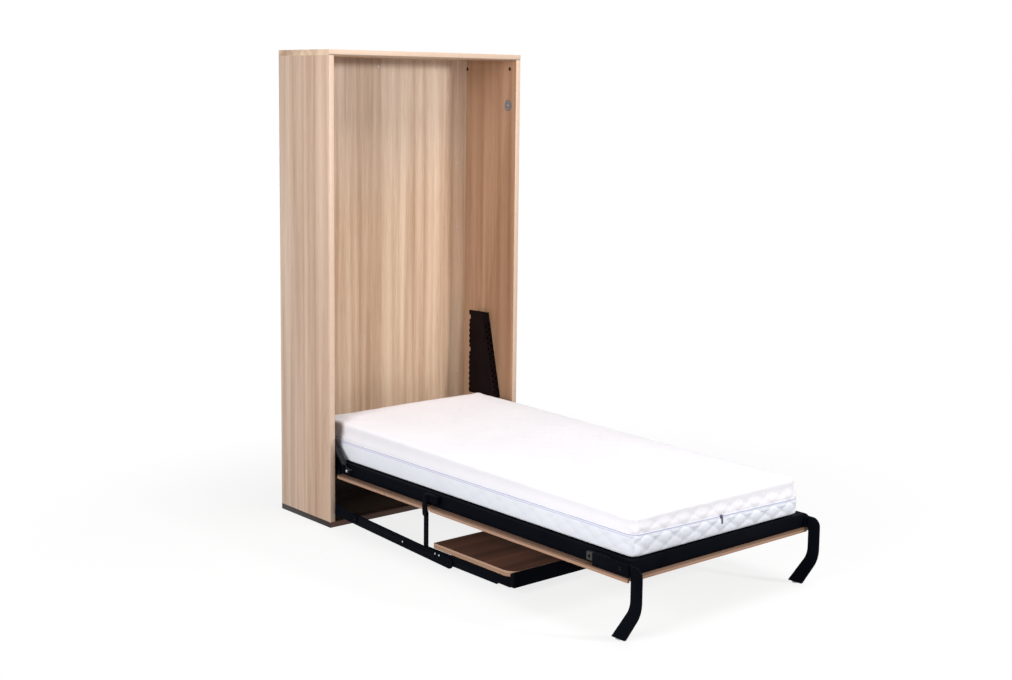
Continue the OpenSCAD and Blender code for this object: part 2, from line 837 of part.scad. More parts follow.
// The hanging bracket on the rail, and the pin that the desk post hangs on
module link_brackets() {
    color("#2a2a2e") both() difference() {
        union() {
            block([stub_x, stub_y - stub_w / 2, link_z],
                [stub_x + stub_t, stub_y + stub_w / 2, rail_top - 10]);
            plate_x(stub_x, stub_t) translate([link_y, link_z]) circle(stub_w / 2);
            block([stub_x + stub_t, stub_y - stub_foot, rail_z + 22],
                [rail_x, stub_y + 6, rail_top - 3]);
            block([stub_x, stub_y - 20, rail_z + 22],
                [stub_x + stub_t, stub_y + 6, rail_top - 3]);
        }
        bar_x(stub_x - 1, stub_x + stub_t + 1, link_y, link_z, arm_pin_r);
    }
}
module link_pins() {
    end_x = desk_side_x + desk_side_t + loose;
    color("silver") both() {
        bar_x(stub_x, end_x, link_y, link_z, arm_pin_r);
        bar_x(end_x, end_x + 3, link_y, link_z, 8);
        bar_x(stub_x - 0.8, stub_x, link_y, link_z, 7);
    }
}
desk_flange = 20;
desk_screw_n = 3;
desk_screw_x = desk_side_x + desk_side_t + 14;
module at_desk_screws() {
    for (i = [0:desk_screw_n - 1])
        translate([desk_screw_x, desk_pin_y - 30 - i * desk_screw_pitch, 0]) children();
}
module desk_side_outline() {
    translate([link_y, link_z]) circle(post_r);
    translate([link_y - post_r, desk_side_low]) square([2 * post_r, link_z - desk_side_low]);
    polygon([[link_y + post_r, desk_side_low], [link_y + post_r, desk_z], [tube_rear_y, desk_z],
        [tube_rear_y, desk_toe_low], [tube_rear_y + 72, desk_toe_low],
        [tube_rear_y + 79, desk_side_low]]);
}
module desk_side() {
    difference() {
        union() {
            plate_x(desk_side_x, desk_side_t) desk_side_outline();
            block([desk_side_x + desk_side_t, tube_rear_y, desk_z - 3],
                [desk_side_x + desk_side_t + desk_flange, desk_pin_y, desk_z]);
        }
        bar_x(desk_side_x - 1, desk_side_x + desk_side_t + 1, link_y, link_z,
            arm_pin_r + loose);
        bar_x(desk_side_x - 1, desk_side_x + desk_side_t + 1, desk_pin_y, desk_pin_z,
            arm_pin_r);
        at_desk_screws() translate([0, 0, desk_z - 4]) cylinder(h = 5, r = 2);
    }
}
module left_desk_side() {
    color("#242428") left() desk_side();
}
module right_desk_side() {
    color("#242428") right() desk_side();
}
module desk_front_tube() {
    x0 = desk_side_x;
    color("#242428") middle() difference() {
        block([x0, tube_rear_y - tube_d, tube_low], [cab_w - x0, tube_rear_y, tube_high]);
        block([x0 + 2, tube_rear_y - tube_d + 2, tube_low + 2],
            [cab_w - x0 - 2, tube_rear_y - 2, tube_high - 2]);
    }
}
module desk_top_outline() {
    w = cab_w - 2 * desk_x;
    r = desk_corner_r;
    translate([desk_x, desk_rear_y - desk_d + r]) square([w, desk_d - r]);
    translate([desk_x + r, desk_rear_y - desk_d]) square([w - 2 * r, r]);
    for (x = [desk_x + r, cab_w - desk_x - r])
        translate([x, desk_rear_y - desk_d + r]) circle(r);
}
module desk_top() {
    color("saddlebrown") difference() {
        middle() translate([0, 0, desk_z]) linear_extrude(desk_t) desk_top_outline();
        both() at_desk_screws() translate([0, 0, desk_z - 1]) cylinder(h = 13, r = 2);
    }
}
module desk_fasteners() {
    x0 = arm_x - 2;
    color("silver") both() {
        at_desk_screws() {
            translate([0, 0, desk_z - 3]) cylinder(h = 15, r = 2);
            translate([0, 0, desk_z - 5]) cylinder(h = 2, r = 4.5);
        }
        bar_x(x0, desk_side_x + desk_side_t, desk_pin_y, desk_pin_z, arm_pin_r);
        bar_x(x0 - 1.5, arm_x - 0.4, desk_pin_y, desk_pin_z, 8);
    }
}

left_side_panel();
right_side_panel();
top_panel();
bottom_panel();
back_panel();
top_cleat();
side_cleats();
back_panel_screws();
corner_cams();
cam_bolts();
left_pivot_plate();
right_pivot_plate();
pivot_plate_screws();
left_pivot_pin();
right_pivot_pin();
left_spring_tower();
right_spring_tower();
tower_screws();
spring_hook_bars();
left_lift_spring();
right_lift_spring();
left_latch_plate();
right_latch_plate();
left_latch_pin();
right_latch_pin();
latch_screws();
left_arm_plate();
right_arm_plate();
arm_pivot_bolts();
left_side_rail();
right_side_rail();
foot_rail();
head_rail();
cross_rail();
slats();
slat_holders();
face_panel_foot();
face_panel_head();
face_screws();
mattress();
pivot_lugs();
pivot_bushes();
spring_anchor_pins();
latch_catches();
left_leg_bracket();
right_leg_bracket();
leg_pivot_bolts();
left_leg();
right_leg();
left_leg_glide();
right_leg_glide();
link_brackets();
link_pins();
left_desk_arm();
right_desk_arm();
left_desk_side();
right_desk_side();
desk_front_tube();
desk_top();
desk_fasteners();
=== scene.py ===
"""Dresses the wall bed: wood boards, black steel, coil springs, screws and a quilted mattress."""

import json
import math

import bmesh
import bpy
from mathutils import Matrix, Vector, noise


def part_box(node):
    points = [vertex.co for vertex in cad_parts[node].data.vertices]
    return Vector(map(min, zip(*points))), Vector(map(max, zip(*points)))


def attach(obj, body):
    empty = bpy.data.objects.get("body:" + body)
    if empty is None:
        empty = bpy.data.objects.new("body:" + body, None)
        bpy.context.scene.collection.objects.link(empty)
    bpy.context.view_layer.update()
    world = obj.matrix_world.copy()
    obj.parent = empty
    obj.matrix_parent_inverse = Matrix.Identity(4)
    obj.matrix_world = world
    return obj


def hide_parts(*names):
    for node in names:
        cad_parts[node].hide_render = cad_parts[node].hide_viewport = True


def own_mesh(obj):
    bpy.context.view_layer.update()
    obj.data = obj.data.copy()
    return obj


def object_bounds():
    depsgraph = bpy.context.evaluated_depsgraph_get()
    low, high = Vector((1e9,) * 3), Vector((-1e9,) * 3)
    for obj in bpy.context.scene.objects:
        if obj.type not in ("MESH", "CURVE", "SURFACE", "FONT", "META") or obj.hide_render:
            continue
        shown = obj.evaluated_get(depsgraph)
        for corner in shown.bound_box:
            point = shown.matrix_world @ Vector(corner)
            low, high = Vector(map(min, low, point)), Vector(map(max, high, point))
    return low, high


bl_info = {
    "name": "Wall Bed Finish",
    "version": (1, 0, 0),
    "blender": (4, 5, 0),
    "location": "View3D > Sidebar > Wall Bed",
    "description": "Adds the grain, the mattress, the springs and the fittings of a wall bed",
    "category": "Object",
}

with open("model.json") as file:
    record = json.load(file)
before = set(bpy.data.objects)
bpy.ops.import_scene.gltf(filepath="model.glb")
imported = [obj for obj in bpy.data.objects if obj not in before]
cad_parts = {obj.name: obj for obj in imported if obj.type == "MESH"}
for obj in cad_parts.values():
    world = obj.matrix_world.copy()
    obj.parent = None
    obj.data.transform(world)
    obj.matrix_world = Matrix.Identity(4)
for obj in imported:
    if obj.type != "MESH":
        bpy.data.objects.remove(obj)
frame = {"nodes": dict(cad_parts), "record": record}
NODES = frame["nodes"]
# CAD nodes that have got their material
finished = set()
CAD_LOW, CAD_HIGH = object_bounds()

# Places in the cabinet are measured from its left outer face, its front edge and the floor.
SIDE_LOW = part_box("left_side_panel")[0]
RIGHT_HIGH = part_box("right_side_panel")[1]

# Points of a CAD mesh closer than this are one point, in metres
MERGE_DISTANCE = 0.00002
# Faces of a CAD mesh that turn less than this are one face, and sharper edges than the
# second angle are rounded, in degrees
FLAT_ANGLE = 0.8
EDGE_ANGLE = 38
# A face counts as looking along an axis when its normal has at least this part along it
SQUARE_ON = 0.6


def place(x, y, z):
    """A point given in millimetres from the cabinet's left front foot, in the row frame."""
    return Vector((SIDE_LOW.x + x / 1000, SIDE_LOW.y + y / 1000, z / 1000))


# Helpers for materials


class Graph:
    """A short way to write the nodes of a material or of the world."""

    def __init__(self, name, world=False):
        self.owner = (bpy.data.worlds if world else bpy.data.materials).new(name)
        self.owner.use_nodes = True
        self.tree = self.owner.node_tree
        self.shader = self.tree.nodes.get("Principled BSDF")
        self.coords = self.tree.nodes.new("ShaderNodeTexCoord").outputs["Object"]

    def link(self, source, target):
        self.tree.links.new(source, target)

    def feed(self, socket, value):
        """Links a value to a socket, or sets it there as a number, a vector or a colour."""
        if isinstance(value, bpy.types.NodeSocket):
            self.link(value, socket)
        elif socket.type == "RGBA":
            socket.default_value = (*value, 1)
        else:
            socket.default_value = value

    def set(self, name, value):
        """Feeds a socket of the material's own shader."""
        self.feed(self.shader.inputs[name], value)

    def node(self, kind, values=None, **settings):
        """A new node with its settings, and values for its sockets by name or number."""
        made = self.tree.nodes.new(kind)
        for key, value in settings.items():
            setattr(made, key, value)
        for key, value in (values or {}).items():
            self.feed(made.inputs[key], value)
        return made

    def mapping(self, scale=(1, 1, 1), shift=(0, 0, 0)):
        values = {"Vector": self.coords, "Scale": scale, "Location": shift}
        return self.node("ShaderNodeMapping", values).outputs["Vector"]

    def noise(self, vector, scale, detail=3.0, rough=0.5, distortion=0.0):
        values = {"Vector": vector, "Scale": scale, "Detail": detail, "Roughness": rough,
                  "Distortion": distortion}
        return self.node("ShaderNodeTexNoise", values).outputs["Fac"]

    def speck(self, scale, detail=2, rough=0.5):
        """Noise of one size in every direction."""
        return self.noise(self.mapping(), scale, detail, rough)

    def math(self, operation, a, b=0.0, c=0.0):
        values = {0: a, 1: b, 2: c}
        return self.node("ShaderNodeMath", values, operation=operation).outputs[0]

    def weigh(self, value, factor, more):
        """A value times a factor, with more added."""
        return self.math("ADD", self.math("MULTIPLY", value, factor), more)

    def ramp(self, factor, stops):
        made = self.node("ShaderNodeValToRGB", {"Fac": factor})
        elements = made.color_ramp.elements
        while len(elements) < len(stops):
            elements.new(0.5)
        for element, (position, colour) in zip(elements, stops):
            element.position = position
            element.color = (*colour, 1)
        return made.outputs["Color"]

    def mottle(self, factor, colour, share, start, end):
        """A colour, and a share of it where the factor is low."""
        return self.ramp(factor, [(start, shade(colour, share)), (end, colour)])

    def mix(self, factor, a, b, blend="MIX"):
        values = {0: factor, 6: a, 7: b}
        return self.node("ShaderNodeMix", values, data_type="RGBA", blend_type=blend).outputs[2]

    def span(self, value, start, end, low=0.0, high=1.0, **settings):
        """A value between start and end, carried over to between low and high."""
        values = {0: value, 1: start, 2: end, 3: low, 4: high}
        return self.node("ShaderNodeMapRange", values, **settings).outputs[0]

    def blend(self, factor, a, b):
        """A mix of two shaders."""
        return self.node("ShaderNodeMixShader", {0: factor, 1: a, 2: b}).outputs[0]

    def height(self):
        return self.node("ShaderNodeSeparateXYZ", {0: self.coords}).outputs[2]

    def facing(self, axis):
        """The surface normal's part along x, y or z of the piece itself, so it turns with it."""
        source = self.node("ShaderNodeTexCoord").outputs["Normal"]
        return self.node("ShaderNodeSeparateXYZ", {0: source}).outputs["XYZ".index(axis)]

    def front(self):
        """1 on the faces that look to the front of the piece."""
        return self.math("LESS_THAN", self.facing("Y"), -SQUARE_ON)

    def seen(self):
        """1 for a ray from the camera or off a shiny surface."""
        path = self.node("ShaderNodeLightPath").outputs
        return self.math("MAXIMUM", path["Is Camera Ray"], path["Is Glossy Ray"])

    def bump(self, height, distance, strength=1.0):
        values = {"Height": height, "Distance": distance, "Strength": strength}
        self.set("Normal", self.node("ShaderNodeBump", values).outputs["Normal"])


def linear(red, green, blue):
    """A screen colour, 0 to 255, as the linear colour that nodes take."""
    def one(value):
        value /= 255
        return value / 12.92 if value <= 0.04045 else ((value + 0.055) / 1.055) ** 2.4
    return (one(red), one(green), one(blue))


def shade(colour, *factors):
    """A colour times one factor, or times one for each of its parts."""
    return tuple(v * f for v, f in zip(colour, factors * 3 if len(factors) == 1 else factors))


# Materials


def grain(name, pale, middle, dark, along, band=None, band_side="front", seed=0.0,
          line=None, light_tints=(), gloss=0.45):
    """Wood with soft streaks and fine figure along one axis, and a strip of edge band.
    The strip has a darker line between two heights, which on the face boards is a painted shadow,
    and the tinting by height is painted light and shade on the board."""
    g = Graph(name)

    def stretch(across, length):
        scale = [across] * 3
        scale["XYZ".index(along)] = length
        return g.mapping(scale, (seed, seed * 1.7, seed * 0.6))

    broad = g.noise(stretch(6.5, 0.2), 1.0, 2, 0.5, 0.2)
    streak = g.noise(stretch(24, 0.45), 1.0, 2, 0.5, 0.4)
    figure = g.noise(stretch(70, 3.2), 1.0, 4, 0.6, 2.2)
    fine = g.noise(stretch(520, 9), 1.0, 2, 0.6)
    body = g.weigh(figure, 0.16, g.weigh(broad, 0.42, g.math("MULTIPLY", streak, 0.42)))
    colour = g.ramp(body, [(0.38, dark), (0.49, middle), (0.60, pale)])
    pores = g.ramp(fine, [(0.32, (0.88, 0.85, 0.82)), (0.5, (1, 1, 1))])
    colour = g.mix(0.55, colour, pores, "MULTIPLY")
    # Painted light and shade, lightening or darkening the board between two heights
    for start, end, light_tint, front_only in light_tints:
        part = g.span(g.height(), start, end)
        if front_only:
            part = g.math("MULTIPLY", part, g.front())
        colour = g.mix(part, colour, light_tint, "MULTIPLY")
    if band:
        if band_side == "front":
            mask = g.front()
        elif band_side == "sides":
            mask = g.math("LESS_THAN", g.math("ABSOLUTE", g.facing("Z")), SQUARE_ON)
        # Painted shade: on the face boards the darker strip colour covers the top face as well as
        # the edges
        else:
            mask = g.math("GREATER_THAN", g.facing("Z"), -SQUARE_ON)
        tone = g.noise(g.mapping((30, 30, 30)), 1.0, 2, 0.5)
        strip = g.mottle(tone, band, 0.96, 0.35, 0.6)
        # On the face boards the darker line is a painted shadow, on the others a line in the band
        if line:
            height = g.height()
            inside = g.math("MULTIPLY", g.math("GREATER_THAN", height, line[0]),
                            g.math("LESS_THAN", height, line[1]))
            strip = g.mix(inside, strip, shade(band, 0.42))
        colour = g.mix(mask, colour, strip)
    g.set("Base Color", colour)
    g.set("Roughness", g.weigh(fine, 0.16, gloss - 0.08))
    g.set("Specular IOR Level", 0.35)
    g.bump(g.weigh(figure, 0.6, fine), 0.00012, 0.5)
    return g.owner


def capped_slat(name):
    """Clear birch with a black moulded cap over each end of a slat."""
    g = Graph(name)
    low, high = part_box("slats")
    middle, half = (low.x + high.x) / 2, (high.x - low.x) / 2
    cap_length = 0.040
    figure = g.noise(g.mapping((1.2, 60, 60)), 1.0, 3, 0.6, 0.8)
    wood = g.ramp(figure, [(0.35, linear(196, 166, 124)), (0.62, linear(226, 200, 158))])
    across = g.node("ShaderNodeSeparateXYZ", {0: g.coords}).outputs[0]
    from_middle = g.math("ABSOLUTE", g.math("SUBTRACT", across, middle))
    cap = g.math("GREATER_THAN", from_middle, half - cap_length)
    g.set("Base Color", g.mix(cap, wood, linear(14, 14, 15)))
    g.set("Roughness", 0.5)
    g.bump(g.noise(g.mapping((6, 500, 500)), 1.0, 2, 0.6), 0.0001, 0.5)
    return g.owner


def powder_coat(name, colour, rough=0.5):
    """Black sprayed steel with a faint orange peel and a little dust in its tone."""
    g = Graph(name)
    peel, cloud = g.speck(900), g.speck(7, 3, 0.6)
    pale = tuple(min(1.0, v * 1.4 + 0.0006) for v in colour)
    g.set("Base Color", g.ramp(cloud, [(0.35, colour), (0.7, pale)]))
    g.set("Roughness", g.weigh(cloud, 0.14, rough - 0.07))
    g.set("Specular IOR Level", 0.01)
    g.bump(peel, 0.00008, 0.35)
    return g.owner


def bare_metal(name, colour, rough=0.28):
    """Plated steel with fine turned or rolled marks."""
    g = Graph(name)
    marks, cloud = g.speck(420, 3, 0.6), g.speck(60)
    g.set("Base Color", g.mottle(cloud, colour, 0.72, 0.35, 0.65))
    g.set("Metallic", 1.0)
    g.set("Roughness", g.weigh(marks, 0.2, rough - 0.08))
    g.bump(marks, 0.00003, 0.4)
    return g.owner


def moulded(name, colour, rough=0.5):
    """Moulded plastic with a fine spark texture."""
    g = Graph(name)
    spark, cloud = g.speck(1600), g.speck(30)
    g.set("Base Color", g.mottle(cloud, colour, 0.86, 0.3, 0.7))
    g.set("Roughness", g.weigh(spark, 0.12, rough - 0.06))
    g.bump(spark, 0.00005, 0.3)
    return g.owner


def cover_cloth(name, upper, lower):
    """The mattress cover: a fine knit, greyed by painted shade in its stitch lines and over the
    hills above the zip, and cooler below the zip.
    """
    g = Graph(name)
    quilt = g.node("ShaderNodeAttribute", attribute_name="quilt").outputs["Color"]
    below, crease_shade = g.node("ShaderNodeSeparateColor", {0: quilt}).outputs[:2]
    knit = g.node("ShaderNodeTexWave", {"Vector": g.coords, "Scale": 260, "Distortion": 0.6},
                  wave_type="BANDS", bands_direction="DIAGONAL").outputs["Fac"]
    fluff, patch = g.speck(700, 3, 0.6), g.speck(5.5)
    worn = g.ramp(g.weigh(patch, 0.6, g.math("MULTIPLY", fluff, 0.4)),
                  [(0.3, (0.95, 0.95, 0.955)), (0.6, (1, 1, 1))])
    tone = g.mix(1.0, g.mix(below, upper, lower), worn, "MULTIPLY")
    # Painted shade greys the stitches and the band over the hills
    g.set("Base Color", g.mix(crease_shade, tone, (0.66, 0.66, 0.70), "MULTIPLY"))
    g.set("Roughness", 0.92)
    g.set("Sheen Weight", 0.15)
    g.set("Sheen Roughness", 0.5)
    g.bump(g.weigh(fluff, 0.8, knit), 0.00025, 0.5)
    return g.owner


def zip_cloth(name, colour):
    """Woven zip tape with ribs across it."""
    g = Graph(name)
    rib = g.node("ShaderNodeTexWave", {"Vector": g.coords, "Scale": 500},
                 wave_type="BANDS", bands_direction="Z").outputs["Fac"]
    g.set("Base Color", g.mottle(g.speck(900), colour, 0.85, 0.35, 0.65))
    g.set("Roughness", 0.8)
    g.bump(rib, 0.0001, 0.6)
    return g.owner


# Helpers for modelling


def clamp(value, low=0.0, high=1.0):
    return min(high, max(low, value))


def hump(value, size, middle, spread):
    """A smooth hump of a size, round a middle."""
    return size * math.exp(-(((value - middle) / spread) ** 2))


def aimed(spot, direction, axis="Z"):
    """A matrix that stands at a spot and turns an axis along a direction."""
    turn = direction.to_track_quat(axis, "Y").to_matrix().to_4x4()
    return Matrix.Translation(spot) @ turn


def activate(piece):
    """Selects one object alone, so that an operator acts on nothing else."""
    bpy.ops.object.select_all(action="DESELECT")
    piece.select_set(True)
    bpy.context.view_layer.objects.active = piece


def settle(piece, name=None):
    """Puts a piece's place into its mesh."""
    activate(piece)
    if name:
        piece.name = name
        piece.data.name = name
    bpy.ops.object.transform_apply(location=True, rotation=True, scale=True)
    return piece


def apply_all(piece):
    """Applies every modifier in order."""
    activate(piece)
    for modifier in list(piece.modifiers):
        bpy.ops.object.modifier_apply(modifier=modifier.name)


def dress(piece, material, body, angle=40):
    """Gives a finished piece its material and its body."""
    activate(piece)
    bpy.ops.object.shade_smooth_by_angle(angle=math.radians(angle))
    piece.data.materials.clear()
    piece.data.materials.append(material)
    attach(piece, body)
    return piece


def finish_node(node, material):
    """Gives a CAD node its material."""
    mesh = NODES[node].data
    mesh.materials.clear()
    mesh.materials.append(material)
    finished.add(node)


def stand_in(piece, node, material, angle):
    """Dresses a piece and lets it take a CAD node's place."""
    finish_node(node, material)
    dress(piece, material, body_of(node), angle)
    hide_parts(node)


def put(name, data):
    """A new object in the scene."""
    made = bpy.data.objects.new(name, data)
    bpy.context.scene.collection.objects.link(made)
    return made


def cuboid(size, location=(0, 0, 0), turn=0.0):
    """A box by its three sizes and its middle."""
    bpy.ops.object.select_all(action="DESELECT")
    bpy.ops.mesh.primitive_cube_add(size=1, location=location, rotation=(0, 0, turn))
    bpy.context.object.scale = size
    return settle(bpy.context.object)


def rod(sides, radius, length, middle):
    """A cylinder on the z axis."""
    bpy.ops.object.select_all(action="DESELECT")
    bpy.ops.mesh.primitive_cylinder_add(vertices=sides, radius=radius, depth=length,
                                        location=(0, 0, middle))
    return settle(bpy.context.object)


def round_edges(piece, width, segments, angle):
    """Rounds the edges that are sharper than an angle."""
    bevel = piece.modifiers.new("edges", "BEVEL")
    bevel.width = width
    bevel.segments = segments
    bevel.limit_method = "ANGLE"
    bevel.angle_limit = math.radians(angle)
    apply_all(piece)


def join(pieces, name):
    """Joins pieces into one object with one mesh."""
    activate(pieces[0])
    for piece in pieces[1:]:
        piece.select_set(True)
    if len(pieces) > 1:
        bpy.ops.object.join()
    return settle(bpy.context.view_layer.objects.active, name)


def stamp(pattern, matrix):
    """A copy of a finished pattern piece with its own mesh, at another place."""
    copy = pattern.copy()
    copy.data = pattern.data.copy()
    copy.data.transform(matrix)
    bpy.context.scene.collection.objects.link(copy)
    return copy


def merged_copy(node):
    """A copy of a CAD node's mesh with its loose triangles joined up."""
    piece = put(node + "_finish", NODES[node].data.copy())
    activate(piece)
    bpy.ops.object.mode_set(mode="EDIT")
    bpy.ops.mesh.select_mode(type="VERT")
    bpy.ops.mesh.select_all(action="SELECT")
    bpy.ops.mesh.remove_doubles(threshold=MERGE_DISTANCE)
    bpy.ops.mesh.select_all(action="SELECT")
    bpy.ops.mesh.dissolve_limited(angle_limit=math.radians(FLAT_ANGLE))
    bpy.ops.object.mode_set(mode="OBJECT")
    return piece


def soften(node, width, material):
    """Stands in for a CAD node with its sharp edges rounded."""
    piece = merged_copy(node)
    round_edges(piece, width, 2, EDGE_ANGLE)
    stand_in(piece, node, material, 35)


def solids(node):
    """The low and high corner of each separate solid of a CAD node."""
    form = bmesh.new()
    form.from_mesh(NODES[node].data)
    bmesh.ops.remove_doubles(form, verts=form.verts, dist=MERGE_DISTANCE)
    found = []
    seen = set()
    for start in form.verts:
        if start in seen:
            continue
        seen.add(start)
        heap, island = [start], []
        while heap:
            point = heap.pop()
            island.append(point.co.copy())
            for edge in point.link_edges:
                other = edge.other_vert(point)
                if other not in seen:
                    seen.add(other)
                    heap.append(other)
        low = Vector([min(p[i] for p in island) for i in range(3)])
        high = Vector([max(p[i] for p in island) for i in range(3)])
        found.append((low, high))
    form.free()
    return found


def body_of(node):
    """The body that a CAD node rides on, from the record."""
    for body, nodes in frame["record"]["behaviour"]["bodies"].items():
        if node in nodes:
            return body
    raise ValueError(f"{node} has no body")


def tube(name, points, radius, closed=False, sides=3):
    """A round bar or cord along a row of points, as a mesh."""
    curve = bpy.data.curves.new(name, "CURVE")
    curve.dimensions = "3D"
    curve.bevel_depth = radius
    curve.bevel_resolution = sides
    curve.use_fill_caps = not closed
    spline = curve.splines.new("POLY")
    spline.points.add(len(points) - 1)
    for target, point in zip(spline.points, points):
        target.co = (*point, 1)
    spline.use_cyclic_u = closed
    activate(put(name, curve))
    bpy.ops.object.convert(target="MESH")
    return bpy.context.object


# Settings


def size_setting(name, description, value):
    """A length that a user may set, in metres."""
    return bpy.props.FloatProperty(
        name=name, description=description, default=value, unit="LENGTH"
    )


def colour_setting(name, description, red, green, blue):
    """A colour that a user may set, given as a screen colour."""
    return bpy.props.FloatVectorProperty(
        name=name, description=description, subtype="COLOR", default=linear(red, green, blue)
    )


class WallBedSizes(bpy.types.PropertyGroup):
    """Sizes that a user would change."""

    lens: bpy.props.FloatProperty(
        name="Lens", description="Focal length of the camera in millimetres", default=53.04
    )
    quilt_width: size_setting("Quilt width", "Width of one quilted diamond", 0.100)
    quilt_height: size_setting("Quilt height", "Height of one quilted diamond on the border", 0.058)
    quilt_puff: size_setting("Quilt puff", "How far a quilted diamond stands out", 0.0070)
    seam_height: size_setting("Seam height", "Height of the zip above the mattress base", 0.084)
    seam_fall: size_setting("Seam fall", "How much the zip falls to the right foot corner", 0.022)
    head_rise: size_setting("Head rise", "Extra height of the mattress at the head end", 0.022)
    coil_pitch: size_setting("Coil pitch", "Distance between the turns of a lift spring", 0.0042)
    board_edge: size_setting("Board edge", "Rounding of the boards' edges", 0.0010)


class WallBedColours(bpy.types.PropertyGroup):
    """Finish colours that a user would change."""

    board_pale: colour_setting(
        "Board, pale", "Pale streaks of the cabinet boards", 232, 205, 178)
    board_dark: colour_setting(
        "Board, dark", "Dark streaks of the cabinet boards", 184, 150, 122)
    edge_band: colour_setting(
        "Edge band", "Strip on the front edges of the boards", 213, 185, 163)
    steel: colour_setting(
        "Black steel", "Powder coat of the frame, legs and arms", 8, 10, 16)
    cover: colour_setting(
        "Mattress cover", "Upper part of the mattress cover", 244, 242, 247)
    cover_low: colour_setting(
        "Mattress border", "Lower part of the mattress cover", 236, 239, 247)
    zip_cord: colour_setting("Zip", "Teeth of the zip", 176, 182, 216)


def sizes():
    return bpy.context.scene.wall_bed_sizes


def colours():
    return bpy.context.scene.wall_bed_colours


# Operators


class WALLBED_OT_camera(bpy.types.Operator):
    """Set the camera to the photograph's viewpoint"""

    bl_idname = "wallbed.camera"
    bl_label = "Camera"

    # Solved from the cabinet's and the bed's straight edges: the place in millimetres, the
    # turns in degrees, and how far the picture sits above the lens's axis in picture widths
    station = (-3610.6, -5379.4, 1949.6)
    turn_right = 40.67
    look_down = 7.34
    roll = 0.686
    rise = 60 / 1012

    def execute(self, context):
        data = bpy.data.cameras.new("viewpoint")
        data.lens = sizes().lens
        data.sensor_width = 36
        data.shift_y = -self.rise
        camera = put("viewpoint", data)
        turn = Matrix.Rotation(math.radians(-self.turn_right), 4, "Z")
        tilt = Matrix.Rotation(math.radians(90 - self.look_down), 4, "X")
        roll = Matrix.Rotation(math.radians(self.roll), 4, "Z")
        camera.matrix_world = Matrix.Translation(place(*self.station)) @ turn @ tilt @ roll
        context.scene.camera = camera
        return {"FINISHED"}


class WALLBED_OT_stage(bpy.types.Operator):
    """Add the pale floor and the soft studio lights"""

    bl_idname = "wallbed.stage"
    bl_label = "Stage"

    # Name, place, point aimed at, size and power of each lamp
    lamps = (
        ("key", (2.3, -5.6, 2.7), (0, 0.3, 1.0), 0.6, 215),
        ("left fill", (-5.6, -1.5, 2.3), (-0.3, 0.1, 0.8), 2.6, 275),
        ("top", (0.4, -1.2, 4.6), (0.1, -0.4, 0.4), 2.2, 86),
    )
    # Strength of the sky as a light
    sky = 0.22
    # Distances over which the floor's shadow fades out, and how white the floor is at each
    fade = (1.0, 2.6, 0.80, 1.0)

    def execute(self, context):
        scene = context.scene
        scene.view_settings.view_transform = "Standard"
        # The camera sees pure white, and the bed is lit by a weaker sky
        air = Graph("studio", world=True)
        scene.world = air.owner
        back = air.tree.nodes["Background"].inputs
        back["Color"].default_value = (1, 1, 1, 1)
        air.feed(back["Strength"],
                 air.math("MULTIPLY_ADD", air.seen(), 1 - self.sky, self.sky))
        for name, where, target, size, power in self.lamps:
            data = bpy.data.lights.new(name, "AREA")
            data.size = size
            data.energy = power
            aim = Vector(target) - Vector(where)
            put(name, data).matrix_world = aimed(Vector(where), aim, "-Z")
        bpy.ops.mesh.primitive_plane_add(size=40, location=(0, 0, 0))
        floor = settle(context.object, "floor")
        g = Graph("pale floor")
        g.set("Base Color", linear(118, 116, 114))
        g.set("Roughness", 0.8)
        g.bump(g.speck(18), 0.0002, 0.1)
        # The camera sees a white sheet with a faint shadow, which fades out away from the bed
        glow = g.node("ShaderNodeEmission", {"Color": (1, 1, 1), "Strength": 1.0})
        sheet = g.node("ShaderNodeBsdfDiffuse", {"Color": (0.97, 0.97, 0.97)})
        spread = g.node("ShaderNodeVectorMath", {0: g.coords}, operation="LENGTH")
        fade = g.span(spread.outputs["Value"], *self.fade, interpolation_type="SMOOTHSTEP")
        white = g.blend(fade, sheet.outputs[0], glow.outputs[0])
        g.feed(g.tree.nodes["Material Output"].inputs["Surface"],
               g.blend(g.seen(), g.shader.outputs[0], white))
        floor.data.materials.append(g.owner)
        return {"FINISHED"}


